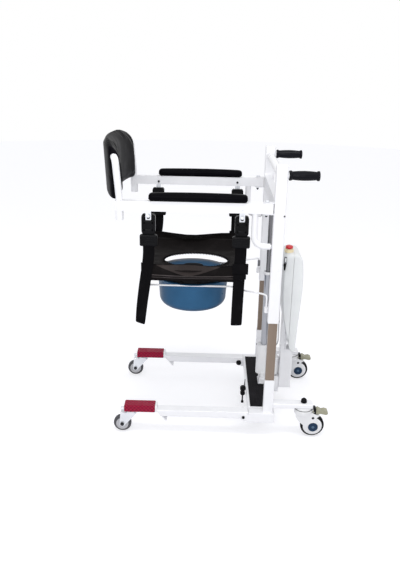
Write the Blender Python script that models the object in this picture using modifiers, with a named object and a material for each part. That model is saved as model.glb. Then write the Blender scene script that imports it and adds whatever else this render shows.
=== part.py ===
# Mobile patient lift with a split seat sling, a commode pan and a linear actuator.
# Metres, +Z up. The floor is z = 0, the mast stands towards +X and the legs reach towards -X.
# "left" is the -Y side and "right" the +Y side, as the attendant holding the grips sees them.

import math

import bmesh
import bpy
from mathutils import Matrix, Vector

for old in list(bpy.data.objects):
    bpy.data.objects.remove(old, do_unlink=True)

# Clearances
GAP = 0.0003                    # between two pieces that touch
RUN = 0.0008                    # between two pieces that move past each other

# Chassis
AXLE_SPAN = 0.803               # front axle to rear axle
WHEEL_Y = 0.257                 # wheel, post and swivel centres to the middle plane
FRONT_WHEEL_R = 0.0375
FRONT_TYRE_W = 0.024
FRONT_TRAIL = 0.0365
FRONT_FORK_TOP = 0.0915
FORK_REACH = (-0.0070, 0.0600)  # front and rear end of the fork's crown, from the axle
REAR_WHEEL_R = 0.050
REAR_TYRE_W = 0.027
REAR_TRAIL = 0.0412
LEG_W = 0.046
LEG_H = 0.030
LEG_TOP = 0.112
LEG_WALL = 0.0025
LEG_FRONT_X = -0.259            # front end of the low leg tube, along its top
LEG_MITRE = 0.025               # how far its slanted front end runs back
TAB_DROP = 0.021                # end tab below the leg
NOSE_X = -0.388                 # front end of the raised nose tube
NOSE_BACK_X = -0.2535
NOSE_RISE = 0.0175
SLEEVE_WALL = 0.0028
SLEEVE_X = (-0.3915, -0.262)
SEAM_X = 0.129                  # where the leg tube enters the side frame
SIDE_BACK_X = 0.238
SIDE_BOTTOM = 0.0655
SIDE_TOP = 0.110
CHEEK_T = 0.003
BOLT_X = 0.108                  # leg clamp bolt
BOLT_Z = 0.0910
KNOB_R = 0.012
BEAM_W = 0.045                  # rear beam, across
BEAM_H = 0.020
BEAM_BOTTOM = 0.135
BEAM_END_X = 0.397
CAP_R = 0.0125
PLATE_TOP = 0.1165              # footplate
MAT_X = (0.1385, 0.2330)
MAT_NOTCH = (0.1835, 0.0385)    # front edge and half width of the cut-out round the actuator
LEVER_X = 0.116                 # cam lever's pivot, in front of the footplate
LEVER_Y = -0.050
LEVER_Z = 0.078
LEVER_HALF = 0.009
LEVER_PIN_R = 0.003

# Mast
MAST_X = 0.2105                 # centre line of guide tubes and columns
TUBE_WALL = 0.0022
GUIDE_X = 0.036                 # guide tube section, along X and Y
GUIDE_Y = 0.026
GUIDE_BOTTOM = 0.112
GUIDE_TOP = 0.880
SOCKET_TOP = 0.260
COLUMN_X = 0.044                # outer column section
COLUMN_Y = 0.034
BAR_DEPTH = 0.030               # lower cross bar, along X
BAR_FLOOR = 0.006               # its bottom wall, which holds the rod's cup
TOP_BAR_R = 0.016
GRIP_LENGTH = 0.114
GRIP_R = 0.019
GRIP_STUB_R = 0.0125

# Actuator, post and control box, on the middle plane
ROD_X = 0.2045
ROD_R = 0.0092
ROD_BOTTOM = 0.565
ACT_TUBE_R = 0.0142
ACT_TUBE_TOP = 0.630
HOUSING_Z = (0.160, 0.300)
HOUSING_R = 0.0225
MOTOR_R = 0.027
MOTOR_X = 0.2490
MOTOR_TOP = 0.241
POST_X = (0.2775, 0.3315)
POST_Y = 0.056
POST_BOTTOM = 0.098
BOX_HALF_W = 0.078
BATTERY_SEAM_X = 0.303
STOP_R = 0.016
STOP_X = 0.2850
STOP_Y = -0.030
STOP_TRAVEL = 0.004
STOP_COLLAR_TOP = 0.7552

# Arms
ARM_W = 0.025
ARM_H = 0.0385
ARM_BOTTOM = 0.960
ARM_FRONT_X = -0.4105
ARM_OUTER_Y = 0.271
HINGE_X = 0.161
HINGE_PIN_R = 0.005
HINGE_SWEEP_R = 0.0268          # the arm's rear end stays inside this radius
LUG_T = 0.0035
BOLT_FRONT_X = -0.286           # hanger bolts through the arm
BOLT_REAR_X = 0.0705
BRACE_R = 0.0125
BRACE_X = 0.119
BRACE_DROP = 0.131              # brace's lower run, below the arm
BRACE_BEND = 0.040
ARM_PAD_X = (-0.286, 0.090)
ARM_PAD_W = 0.042
ARM_PAD_H = 0.030
POST_SOCKET_X = -0.395          # backrest posts
POST_SOCKET_Y = 0.2585
BACK_POST_R = 0.0132
STUB_DROP = 0.037               # post socket, below the arm

# Heights above the arms' lower face
LOWER_BAR_RISE = (0.006, 0.054)
TOP_BAR_RISE = 0.140
GRIP_RISE = 0.145
COLUMN_RISE = 0.1805

# Backrest
BACK_LEAN = math.radians(5.0)   # its posts
PAD_LEAN = math.radians(3.0)
HOOP_RISE = 0.1565              # hoop's top above the arm
HOOP_BEND = 0.022
BACK_HALF_W = 0.238
BACK_RISE = 0.025               # pad's lower edge above the arm's lower face
BACK_H = 0.2355
BACK_T = 0.044
BACK_BOW = 0.043
PAD_X = -0.404                  # middle of the pad's thickness at its lower side corners

# Seat sling
HANGER_Y = 0.2500
BUCKLE_W = 0.053
BUCKLE_T = 0.022
BUCKLE_DROP = (0.0910, 0.0145)  # lower and upper end, below the arm
ADJUSTER_W = 0.068
ADJUSTER_DROP = (0.1410, 0.0955)
TONGUE_DROP = 0.0380
TONGUE_WINDOW = (0.0320, 0.0200)
WEB_W = 0.046
WEB_T = 0.0032
SLING_X = (-0.318, 0.083)
SLING_HANG = 0.074              # side panel's top edge, below the adjusters
SLING_SAG = 0.011
SLING_DEPTH = 0.095             # side panel, top edge to hem
SLING_SIDE_Y = 0.236
SEAT_DROP = 0.055               # seat panel, below the side panels' top edge
SEAT_T = 0.011
HOLE_X = (-0.244, 0.032)
HOLE_HALF_Y = 0.118
TAIL_DROP = 0.255               # strap ends, below the side panels' top edge

# Commode pan and its wire carrier
PAN_X = -0.118
PAN_RIM_R = 0.171
PAN_WALL_R = 0.1515
PAN_CORNER = 0.064
PAN_FLOOR_R = 0.068
PAN_DEPTH = 0.134               # below the wire
PAN_WALL = 0.0028
LID_R = 0.158
WIRE_R = 0.004
WIRE_Y = 0.156
WIRE_DROP = 0.025               # below the sling's hem
WIRE_FRONT_X = -0.310
WIRE_BACK_X = 0.060
WIRE_POST_X = 0.1815
WIRE_POST_Y = 0.2475
WIRE_POST_L = 0.068
LID_HANDLE_W = 0.087
LID_HANDLE_RISE = 0.040         # above the wire

FRONT_AXLE_X = -AXLE_SPAN / 2
REAR_AXLE_X = AXLE_SPAN / 2
FRONT_SWIVEL_X = FRONT_AXLE_X + FRONT_TRAIL
REAR_SWIVEL_X = REAR_AXLE_X - REAR_TRAIL
LEG_BOTTOM = LEG_TOP - LEG_H
ARM_TOP = ARM_BOTTOM + ARM_H
ARM_Y = ARM_OUTER_Y - ARM_W / 2
MAST_FRONT_X = MAST_X - COLUMN_X / 2
MAST_BACK_X = MAST_X + COLUMN_X / 2
COLUMN_INNER_Y = WHEEL_Y - COLUMN_Y / 2
LOWER_BAR_Z = [ARM_BOTTOM + rise for rise in LOWER_BAR_RISE]
TOP_BAR_Z = ARM_BOTTOM + TOP_BAR_RISE
GRIP_Z = ARM_BOTTOM + GRIP_RISE
COLUMN_TOP = ARM_BOTTOM + COLUMN_RISE
BRACE_Z = ARM_BOTTOM - BRACE_DROP
STUB_BOTTOM = ARM_BOTTOM - STUB_DROP
HOOP_TOP_Z = ARM_TOP + HOOP_RISE
BACK_BOTTOM = ARM_BOTTOM + BACK_RISE
BACK_TOP = BACK_BOTTOM + BACK_H
BUCKLE_Z = [ARM_BOTTOM - drop for drop in BUCKLE_DROP]
ADJUSTER_Z = [ARM_BOTTOM - drop for drop in ADJUSTER_DROP]
SLING_TOP = ADJUSTER_Z[0] - SLING_HANG
SLING_HEM = SLING_TOP - SLING_DEPTH
SEAT_Z = SLING_TOP - SEAT_DROP
TAIL_BOTTOM = SLING_TOP - TAIL_DROP
WIRE_Z = SLING_HEM - WIRE_DROP
WIRE_POST_BOTTOM = WIRE_Z - WIRE_POST_L
PAN_BOTTOM = WIRE_Z - PAN_DEPTH
COLUMN_BOTTOM = WIRE_POST_BOTTOM - 0.042
SIDES = (("left", -1.0), ("right", 1.0))

parts = bpy.data.collections.new("mobile_patient_lift")
tools = bpy.data.collections.new("cutters")
bpy.context.scene.collection.children.link(parts)
bpy.context.scene.collection.children.link(tools)


def finish(name, colour, roughness, metallic=0.0):
    """A Principled material in the part's own colour."""
    made = bpy.data.materials.new(name)
    made.use_nodes = True
    shader = made.node_tree.nodes["Principled BSDF"]
    shader.inputs["Base Color"].default_value = (*colour, 1.0)
    shader.inputs["Roughness"].default_value = roughness
    shader.inputs["Metallic"].default_value = metallic
    made.diffuse_color = (*colour, 1.0)
    return made


WHITE = finish("white_powder_coat", (0.88, 0.88, 0.90), 0.35)
ZINC = finish("zinc_plate", (0.62, 0.64, 0.67), 0.32, 0.9)
STEEL = finish("bronzed_steel", (0.40, 0.33, 0.27), 0.38, 0.8)
ALUMINIUM = finish("aluminium", (0.66, 0.67, 0.69), 0.30, 0.9)
BLACK_RUBBER = finish("black_rubber", (0.025, 0.025, 0.028), 0.62)
BLACK_PLASTIC = finish("black_plastic", (0.02, 0.02, 0.022), 0.42)
GREY_TYRE = finish("grey_tyre", (0.30, 0.30, 0.31), 0.60)
BLACK_VINYL = finish("black_vinyl", (0.018, 0.018, 0.022), 0.45)
BLACK_NYLON = finish("black_nylon", (0.022, 0.020, 0.022), 0.80)
CRIMSON = finish("crimson_sleeve", (0.42, 0.012, 0.055), 0.50)
PALE_SHELL = finish("pale_shell", (0.83, 0.86, 0.84), 0.42)
CASTER_SHELL = finish("caster_shell", (0.84, 0.84, 0.83), 0.40)
PEDAL_OLIVE = finish("pedal_olive", (0.40, 0.39, 0.30), 0.50)
PAN_BLUE = finish("pan_blue", (0.060, 0.170, 0.300), 0.30)
STOP_RED = finish("stop_red", (0.62, 0.02, 0.025), 0.35)

places = {}


def empty(name, where, parent=None):
    """An empty at a world point, which carries one moving body."""
    made = bpy.data.objects.new(name, None)
    made.empty_display_size = 0.03
    parts.objects.link(made)
    places[name] = Vector(where)
    made.parent = parent
    made.location = places[name] - (places[parent.name] if parent else Vector())
    return made


LIFT = empty("lift_origin", (0.0, 0.0, 0.0))
CARRIAGE = empty("carriage_axis", (MAST_X, 0.0, COLUMN_BOTTOM), LIFT)


def carry(made, body, collection=parts):
    """Parent an object built in world coordinates to the empty of its body."""
    if made.name not in collection.objects:
        collection.objects.link(made)
    made.data.transform(Matrix.Translation(-places[body.name]))
    made.location = (0.0, 0.0, 0.0)
    made.parent = body
    return made


def as_tool(made, body):
    """Put a cutter or a piece to be joined out of the way of the model."""
    made.name = "tool_" + made.name
    carry(made, body, tools)
    made.hide_render = True
    made.display_type = "WIRE"
    return made


def boolean(target, operand, operation):
    step = target.modifiers.new(operation.lower() + "_" + operand.name, "BOOLEAN")
    step.operation = operation
    step.object = operand
    return target


def join(target, others, body):
    """Weld solids that reach into the target to it."""
    for other in others:
        boolean(target, as_tool(other, body), "UNION")
    return target


def cut(target, others, body):
    for other in others:
        boolean(target, as_tool(other, body), "DIFFERENCE")
    return target


def from_bmesh(name, bm, material, smooth=35.0):
    bmesh.ops.recalc_face_normals(bm, faces=bm.faces)
    mesh = bpy.data.meshes.new(name)
    bm.to_mesh(mesh)
    bm.free()
    mesh.materials.append(material)
    mesh.shade_smooth()
    mesh.set_sharp_from_angle(angle=math.radians(smooth))
    return bpy.data.objects.new(name, mesh)


def block(name, low, high, material, edge=0.001, segments=1):
    """A box between two corners, with its edges rounded."""
    bm = bmesh.new()
    size = [b - a for a, b in zip(low, high)]
    middle = [(a + b) / 2 for a, b in zip(low, high)]
    place = Matrix.Translation(middle) @ Matrix.Diagonal((*size, 1.0))
    bmesh.ops.create_cube(bm, size=1.0, matrix=place)
    if edge > 0.0:
        bmesh.ops.bevel(bm, geom=bm.edges[:], offset=edge, segments=segments,
                        affect="EDGES", profile=0.5, material=-1)
    return from_bmesh(name, bm, material)


def rod(name, start, end, radius, material, sides=18, end_radius=None, edge=0.0):
    """A round bar or a cone between two points."""
    start, end = Vector(start), Vector(end)
    along = end - start
    turn = along.to_track_quat("Z", "Y").to_matrix().to_4x4()
    bm = bmesh.new()
    bmesh.ops.create_cone(bm, cap_ends=True, segments=sides, radius1=radius,
                          radius2=radius if end_radius is None else end_radius,
                          depth=along.length,
                          matrix=Matrix.Translation((start + end) / 2) @ turn)
    if edge > 0.0:
        rims = [e for e in bm.edges if len(e.link_faces) == 2
                and any(len(f.verts) > 4 for f in e.link_faces)]
        bmesh.ops.bevel(bm, geom=rims, offset=edge, segments=1, affect="EDGES", profile=0.5, material=-1)
    return from_bmesh(name, bm, material)


def turned(name, profile, centre, axis, material, steps=24):
    """A solid of revolution. The profile holds (radius, height) pairs, outer side top to bottom."""
    mesh = bpy.data.meshes.new(name)
    points = [(radius, 0.0, height) for radius, height in profile]
    closed = profile[0][0] > 0.0
    count = len(points)
    lines = [(i, i + 1) for i in range(count - 1)]
    if closed:
        lines.append((count - 1, 0))
    mesh.from_pydata(points, lines, [])
    mesh.materials.append(material)
    made = bpy.data.objects.new(name, mesh)
    screw = made.modifiers.new("turn", "SCREW")
    screw.steps = steps
    screw.render_steps = steps
    screw.use_smooth_shade = True
    screw.use_merge_vertices = True
    screw.merge_threshold = 0.00005
    bpy.context.scene.collection.objects.link(made)
    solid = bpy.data.meshes.new_from_object(made.evaluated_get(bpy.context.evaluated_depsgraph_get()))
    bpy.data.objects.remove(made, do_unlink=True)
    turn = Vector(axis).to_track_quat("Z", "Y").to_matrix().to_4x4()
    solid.transform(Matrix.Translation(centre) @ turn)
    solid.name = name
    solid.set_sharp_from_angle(angle=math.radians(35.0))
    return bpy.data.objects.new(name, solid)


def bent_path(corners, radii, steps=5):
    """Points along straight runs whose corners are rounded with circular arcs."""
    corners = [Vector(c) for c in corners]
    points = [corners[0]]
    for here, before, after, radius in zip(corners[1:-1], corners[:-2], corners[2:], radii):
        into = (before - here).normalized()
        out = (after - here).normalized()
        half = into.angle(out) / 2
        reach = radius / math.tan(half)
        centre = here + (into + out).normalized() * (radius / math.sin(half))
        first = (here + into * reach - centre).normalized()
        last = (here + out * reach - centre).normalized()
        for i in range(steps + 1):
            points.append(centre + first.slerp(last, i / steps) * radius)
    points.append(corners[-1])
    return points


def tube(name, points, radius, material, resolution=4):
    """A bevelled curve through the points, made a closed mesh."""
    line = bpy.data.curves.new(name, "CURVE")
    line.dimensions = "3D"
    line.bevel_depth = radius
    line.bevel_resolution = resolution
    line.use_fill_caps = True
    spline = line.splines.new("POLY")
    spline.points.add(len(points) - 1)
    for spot, point in zip(spline.points, points):
        spot.co = (*point, 1.0)
    return solid_of_curve(name, line, material, Matrix())


def plate(name, outlines, thickness, frame, material):
    """A flat outline, with holes as further outlines, filled and given a thickness."""
    shape = bpy.data.curves.new(name, "CURVE")
    shape.dimensions = "2D"
    shape.fill_mode = "BOTH"
    shape.extrude = thickness / 2
    for outline in outlines:
        spline = shape.splines.new("POLY")
        spline.points.add(len(outline) - 1)
        for spot, (x, y) in zip(spline.points, outline):
            spot.co = (x, y, 0.0, 1.0)
        spline.use_cyclic_u = True
    return solid_of_curve(name, shape, material, frame)


def solid_of_curve(name, curve, material, frame):
    holder = bpy.data.objects.new(name, curve)
    bpy.context.scene.collection.objects.link(holder)
    solid = bpy.data.meshes.new_from_object(holder.evaluated_get(bpy.context.evaluated_depsgraph_get()))
    bpy.data.objects.remove(holder, do_unlink=True)
    bm = bmesh.new()
    bm.from_mesh(solid)
    bpy.data.meshes.remove(solid)
    bmesh.ops.remove_doubles(bm, verts=bm.verts, dist=0.00002)
    bm.transform(frame)
    return from_bmesh(name, bm, material, smooth=40.0)


def side_plane(y):
    """Outline X is world X, outline Y is world Z."""
    return Matrix.Translation((0.0, y, 0.0)) @ Matrix.Rotation(math.pi / 2, 4, "X")


def front_plane(x):
    """Outline X is world Y, outline Y is world Z."""
    return Matrix(((0, 0, 1, x), (1, 0, 0, 0), (0, 1, 0, 0), (0, 0, 0, 1)))


def plan_plane(z):
    return Matrix.Translation((0.0, 0.0, z))


def arc(centre, radius, start, end, steps=8):
    """Points of an arc in an outline, angles in degrees."""
    turns = [math.radians(start + (end - start) * i / steps) for i in range(steps + 1)]
    return [(centre[0] + radius * math.cos(t), centre[1] + radius * math.sin(t)) for t in turns]


def rectangle(low, high, radius, steps=2):
    """A rectangle with rounded corners."""
    (x0, y0), (x1, y1) = low, high
    return (arc((x1 - radius, y1 - radius), radius, 0, 90, steps)
            + arc((x0 + radius, y1 - radius), radius, 90, 180, steps)
            + arc((x0 + radius, y0 + radius), radius, 180, 270, steps)
            + arc((x1 - radius, y0 + radius), radius, 270, 360, steps))


def box_tube(name, centre, size, low, high, wall, material, corner=0.003):
    """An upright rectangular tube, open at both ends."""
    half = (size[0] / 2, size[1] / 2)
    outer = rectangle((centre[0] - half[0], centre[1] - half[1]),
                      (centre[0] + half[0], centre[1] + half[1]), corner)
    inner = rectangle((centre[0] - half[0] + wall, centre[1] - half[1] + wall),
                      (centre[0] + half[0] - wall, centre[1] + half[1] - wall), corner / 2)
    return plate(name, [outer, inner], high - low, plan_plane((low + high) / 2), material)


def tangent_outline(wide_low, wide_high, top, hub, radius, steps=8):
    """A plate that is wide at the top and runs in straight lines to a round end."""
    points = [(wide_low, top), (wide_high, top)]
    found = []
    for x, side in ((wide_low, 1.0), (wide_high, -1.0)):
        to_corner = Vector((x - hub[0], top - hub[1]))
        angle = math.atan2(to_corner.y, to_corner.x) + side * math.acos(radius / to_corner.length)
        found.append(math.degrees(angle))
    start, end = found[1], found[0] - 360.0
    return [points[0]] + [points[1]] + arc(hub, radius, start, end, steps)


def grid_sheet(name, columns, rows, place, thickness, material, smooth_levels=0):
    """A sheet whose points come from place(u, v), thickened to both sides."""
    bm = bmesh.new()
    bmesh.ops.create_grid(bm, x_segments=columns, y_segments=rows, size=0.5)
    for vert in bm.verts:
        vert.co = place(vert.co.x + 0.5, vert.co.y + 0.5)
    mesh = bpy.data.meshes.new(name)
    bm.to_mesh(mesh)
    bm.free()
    mesh.materials.append(material)
    mesh.shade_smooth()
    made = bpy.data.objects.new(name, mesh)
    wall = made.modifiers.new("wall", "SOLIDIFY")
    wall.thickness = thickness
    wall.offset = 0.0
    wall.use_even_offset = True
    if smooth_levels:
        soft = made.modifiers.new("soft", "SUBSURF")
        soft.levels = smooth_levels
        soft.render_levels = smooth_levels
    return made


# Chassis

def leg(side, s):
    """Low box tube, mitred in front behind a slanted end tab, with a raised nose on top."""
    y = s * WHEEL_Y
    foot_x = LEG_FRONT_X + LEG_MITRE
    outline = [(SEAM_X - GAP, LEG_BOTTOM), (SEAM_X - GAP, LEG_TOP), (LEG_FRONT_X, LEG_TOP), (foot_x, LEG_BOTTOM)]
    low = plate(side + "_leg", [outline], LEG_W, side_plane(y), WHITE)
    soften(low, 0.0025, 1)
    inside = block(side + "_leg_hollow", (foot_x + 0.010, y - LEG_W / 2 + LEG_WALL, LEG_BOTTOM + LEG_WALL),
                   (SEAM_X + 0.020, y + LEG_W / 2 - LEG_WALL, LEG_TOP - LEG_WALL), WHITE, 0.0)
    nose_half = LEG_W / 2 - 0.001
    nose_low = LEG_BOTTOM + NOSE_RISE + 0.001
    nose_high = LEG_TOP + NOSE_RISE - 0.001
    nose = block(side + "_nose", (NOSE_X, y - nose_half, nose_low), (NOSE_BACK_X, y + nose_half, nose_high),
                 WHITE, 0.0025)
    slope = LEG_MITRE / LEG_H
    tab_top = (LEG_FRONT_X - 0.003 * slope, LEG_TOP + 0.003)
    tab_foot = (foot_x + TAB_DROP * slope, LEG_BOTTOM - TAB_DROP)
    tab_outline = [(tab_top[0] - 0.0030, tab_top[1]), (tab_top[0] + 0.0030, tab_top[1]),
                   (tab_foot[0] + 0.0030, tab_foot[1]), (tab_foot[0] - 0.0030, tab_foot[1])]
    tab = plate(side + "_end_tab", [tab_outline], LEG_W - 0.002, side_plane(y), WHITE)
    nose_inside = block(side + "_nose_hollow", (NOSE_X - 0.020, y - nose_half + LEG_WALL, nose_low + LEG_WALL),
                        (LEG_FRONT_X - 0.008, y + nose_half - LEG_WALL, nose_high - LEG_WALL), WHITE, 0.0)
    bolt_hole = rod(side + "_bolt_hole", (BOLT_X, y - 0.05, BOLT_Z), (BOLT_X, y + 0.05, BOLT_Z), 0.0064, WHITE, 12)
    cut(low, (inside,), LIFT)
    join(low, (nose, tab), LIFT)
    cut(low, (nose_inside, bolt_hole), LIFT)
    return carry(low, LIFT)


def leg_sleeve(side, s):
    """Padded cover that saddles the raised nose, open below, closed in front."""
    y = s * WHEEL_Y
    half = LEG_W / 2 - 0.001 + GAP
    top = LEG_TOP + NOSE_RISE - 0.001 + GAP
    bottom = LEG_BOTTOM + NOSE_RISE + 0.0015
    outer_half = half + SLEEVE_WALL
    outer = block(side + "_leg_sleeve", (SLEEVE_X[0], y - outer_half, bottom),
                  (SLEEVE_X[1], y + outer_half, top + SLEEVE_WALL), CRIMSON, 0.0030, 2)
    hollow = block(side + "_sleeve_hollow", (NOSE_X - GAP, y - half, bottom - 0.02),
                   (SLEEVE_X[1] + 0.02, y + half, top), CRIMSON, 0.0)
    cut(outer, (hollow,), LIFT)
    return carry(outer, LIFT)


def side_frame(side, s):
    """Bracket with cheeks for the leg, upright socket and rear beam, welded together."""
    y = s * WHEEL_Y
    half = LEG_W / 2 + GAP
    body = block(side + "_side_frame", (SEAM_X, y - half - CHEEK_T, SIDE_BOTTOM),
                 (SIDE_BACK_X, y + half + CHEEK_T, SIDE_TOP), WHITE, 0.002, 1)
    cheek_outline = [(SEAM_X + 0.020, 0.1045), (SEAM_X - 0.006, 0.1015)]
    cheek_outline += arc((BOLT_X, BOLT_Z - 0.0025), 0.0135, 85, 265, 7)
    cheek_outline += [(SEAM_X + 0.004, SIDE_BOTTOM + 0.0005), (SEAM_X + 0.020, SIDE_BOTTOM + 0.0005)]
    cheeks = []
    for name, face in (("outer", 1.0), ("inner", -1.0)):
        cheek_y = y + face * (half + CHEEK_T / 2)
        cheeks.append(plate(side + "_cheek_" + name, [cheek_outline], CHEEK_T, side_plane(cheek_y), WHITE))
    socket = box_tube(side + "_socket", (MAST_X, y), (GUIDE_X + 0.0052, GUIDE_Y + 0.0052),
                      SIDE_TOP - 0.004, SOCKET_TOP, TUBE_WALL, WHITE)
    beam = block(side + "_rear_beam", (MAST_X + GUIDE_X / 2 + 0.0010, y - BEAM_W / 2, BEAM_BOTTOM),
                 (BEAM_END_X, y + BEAM_W / 2, BEAM_BOTTOM + BEAM_H), WHITE, 0.003)
    join(body, cheeks + [socket, beam], LIFT)
    arch = ([(0.1490, 0.0720), (0.1610, 0.0720)] + arc((0.1550, 0.0850), 0.0060, 0, 180, 4))
    outer_y = y + s * (half + CHEEK_T)
    recess = plate(side + "_arch", [arch], 0.003, side_plane(outer_y), WHITE)
    bolt_hole = rod(side + "_cheek_hole", (BOLT_X, y - 0.05, BOLT_Z), (BOLT_X, y + 0.05, BOLT_Z),
                    0.0043, WHITE, 10)
    seat = block(side + "_guide_seat", (MAST_X - GUIDE_X / 2 - GAP, y - GUIDE_Y / 2 - GAP, GUIDE_BOTTOM - GAP),
                 (MAST_X + GUIDE_X / 2 + GAP, y + GUIDE_Y / 2 + GAP, SOCKET_TOP + 0.02), WHITE, 0.0)
    cut(body, (recess, bolt_hole, seat), LIFT)
    return carry(body, LIFT)


def leg_knob(side, s):
    """Clamp bolt with a hexagon head outside and a round knob inside the leg."""
    y = s * WHEEL_Y
    z = BOLT_Z
    face = LEG_W / 2 + GAP + CHEEK_T + GAP
    axis = empty(side + "_knob_axis", (BOLT_X, y, z), LIFT)
    inner = y - s * face
    outer = y + s * face
    shank = rod(side + "_leg_knob", (BOLT_X, inner - s * 0.004, z), (BOLT_X, outer + s * 0.002, z),
                0.004, BLACK_PLASTIC, 10)
    head = rod(side + "_bolt_head", (BOLT_X, outer, z), (BOLT_X, outer + s * 0.0045, z), 0.0065,
               ZINC, 6)
    knob = rod(side + "_knob", (BOLT_X, inner, z), (BOLT_X, inner - s * 0.014, z), KNOB_R,
               BLACK_PLASTIC, 18, edge=0.0025)
    join(shank, (head, knob), axis)
    return carry(shank, axis)


def cross_member():
    """Tube between the side frames, with lugs for the actuator and a bracket for the rear post."""
    inner = WHEEL_Y - LEG_W / 2 - GAP - CHEEK_T - GAP
    low, high = (0.190, 0.068), (0.231, 0.104)
    base = block("cross_member", (low[0], -inner, low[1]), (high[0], inner, high[1]), WHITE, 0.002, 1)
    hollow = block("cross_hollow", (low[0] + TUBE_WALL, -inner - 0.02, low[1] + TUBE_WALL),
                   (high[0] - TUBE_WALL, inner + 0.02, high[1] - TUBE_WALL), WHITE, 0.0)
    bracket = block("post_bracket", (high[0] - 0.002, -0.026, 0.074), (POST_X[0] - GAP, 0.026, 0.150), WHITE, 0.002)
    ears = []
    for name, s in SIDES:
        outline = [(ROD_X - 0.016, 0.102), (ROD_X + 0.016, 0.102)] + arc((ROD_X, 0.134), 0.016, 0, 180, 8)
        ears.append(plate(name + "_ear", [outline], 0.004, side_plane(s * 0.0275), WHITE))
        ears.append(rod(name + "_ear_bolt", (ROD_X, s * 0.027, 0.134), (ROD_X, s * 0.0345, 0.134),
                        0.0065, BLACK_PLASTIC, 6))
    cut(base, (hollow,), LIFT)
    join(base, [bracket] + ears, LIFT)
    return carry(base, LIFT)


def footplate():
    """Folded plate on the cross member, notched round the actuator's foot, with the lever's lug."""
    half = WHEEL_Y - GUIDE_Y / 2 - 0.0052 / 2 - 0.002
    tray = block("footplate", (SEAM_X + 0.0005, -half, PLATE_TOP - 0.005), (0.236, half, PLATE_TOP), WHITE, 0.0015)
    lip_half = WHEEL_Y - LEG_W / 2 - GAP - CHEEK_T - 0.001
    lip = block("footplate_lip", (SEAM_X + 0.0005, -lip_half, 0.084), (SEAM_X + 0.0035, lip_half, 0.115), WHITE)
    stiffener = block("footplate_rib", (0.192, -lip_half, 0.104 + GAP), (0.229, lip_half, 0.1125), WHITE, 0.0)
    lug_outline = ([(SEAM_X + 0.002, LEVER_Z + 0.030), (LEVER_X - 0.002, LEVER_Z + 0.008)]
                   + arc((LEVER_X, LEVER_Z), 0.0080, 100, 300, 6) + [(SEAM_X + 0.002, LEVER_Z + 0.016)])
    lug_y = LEVER_Y + LEVER_HALF + RUN + LUG_T / 2
    lug = plate("lever_lug", [lug_outline], LUG_T, side_plane(lug_y), WHITE)
    pin = rod("lever_pin", (LEVER_X, LEVER_Y - LEVER_HALF + 0.003 + GAP, LEVER_Z), (LEVER_X, lug_y, LEVER_Z),
              LEVER_PIN_R, WHITE, 12)
    join(tray, (lip, stiffener, lug, pin), LIFT)
    notch = block("footplate_notch", (MAT_NOTCH[0] + 0.002, -MAT_NOTCH[1] + 0.002, 0.09),
                  (0.260, MAT_NOTCH[1] - 0.002, 0.13), WHITE, 0.0)
    cut(tray, (notch,), LIFT)
    return carry(tray, LIFT)


def foot_mat():
    """Rubber mat with raised ribs across the plate, cut out round the actuator."""
    half = WHEEL_Y - GUIDE_Y / 2 - 0.0052 / 2 - 0.004
    base = PLATE_TOP + GAP
    front, back = MAT_X
    notch_x, notch_half = MAT_NOTCH
    outline = [(front, -half), (back, -half), (back, -notch_half), (notch_x, -notch_half),
               (notch_x, notch_half), (back, notch_half), (back, half), (front, half)]
    sheet = plate("foot_mat", [outline], 0.0022, plan_plane(base + 0.0011), BLACK_RUBBER)
    ribs = []
    rib_w = 0.004
    end = half - 0.006
    for i in range(7):
        x = front + 0.0045 + i * 0.0125
        whole = x + rib_w < notch_x
        spans = [(-end, end)] if whole else [(-end, -notch_half - 0.003), (notch_half + 0.003, end)]
        for y0, y1 in spans:
            ribs.append(block("mat_rib_%d" % len(ribs), (x, y0, base + 0.0015), (x + rib_w, y1, base + 0.0032),
                              BLACK_RUBBER, 0.0))
    join(sheet, ribs, LIFT)
    return carry(sheet, LIFT)


def guide_tube(side, s):
    made = box_tube(side + "_guide_tube", (MAST_X, s * WHEEL_Y), (GUIDE_X, GUIDE_Y),
                    GUIDE_BOTTOM, GUIDE_TOP, 0.002, STEEL, 0.0025)
    return carry(made, LIFT)


def stem_cap(side, s):
    """Domed cap over the caster stem, on top of the rear beam."""
    base = BEAM_BOTTOM + BEAM_H + GAP
    dome = [(0.0, base + 0.0195)]
    dome += [(CAP_R * math.sin(math.radians(a)), base + 0.008 + 0.0115 * math.cos(math.radians(a)))
             for a in (30, 60, 90)]
    dome += [(CAP_R, base), (0.0, base)]
    made = turned(side + "_stem_cap", dome, (REAR_SWIVEL_X, s * WHEEL_Y, 0.0), (0, 0, 1), BLACK_PLASTIC, 18)
    return carry(made, LIFT)


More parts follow.
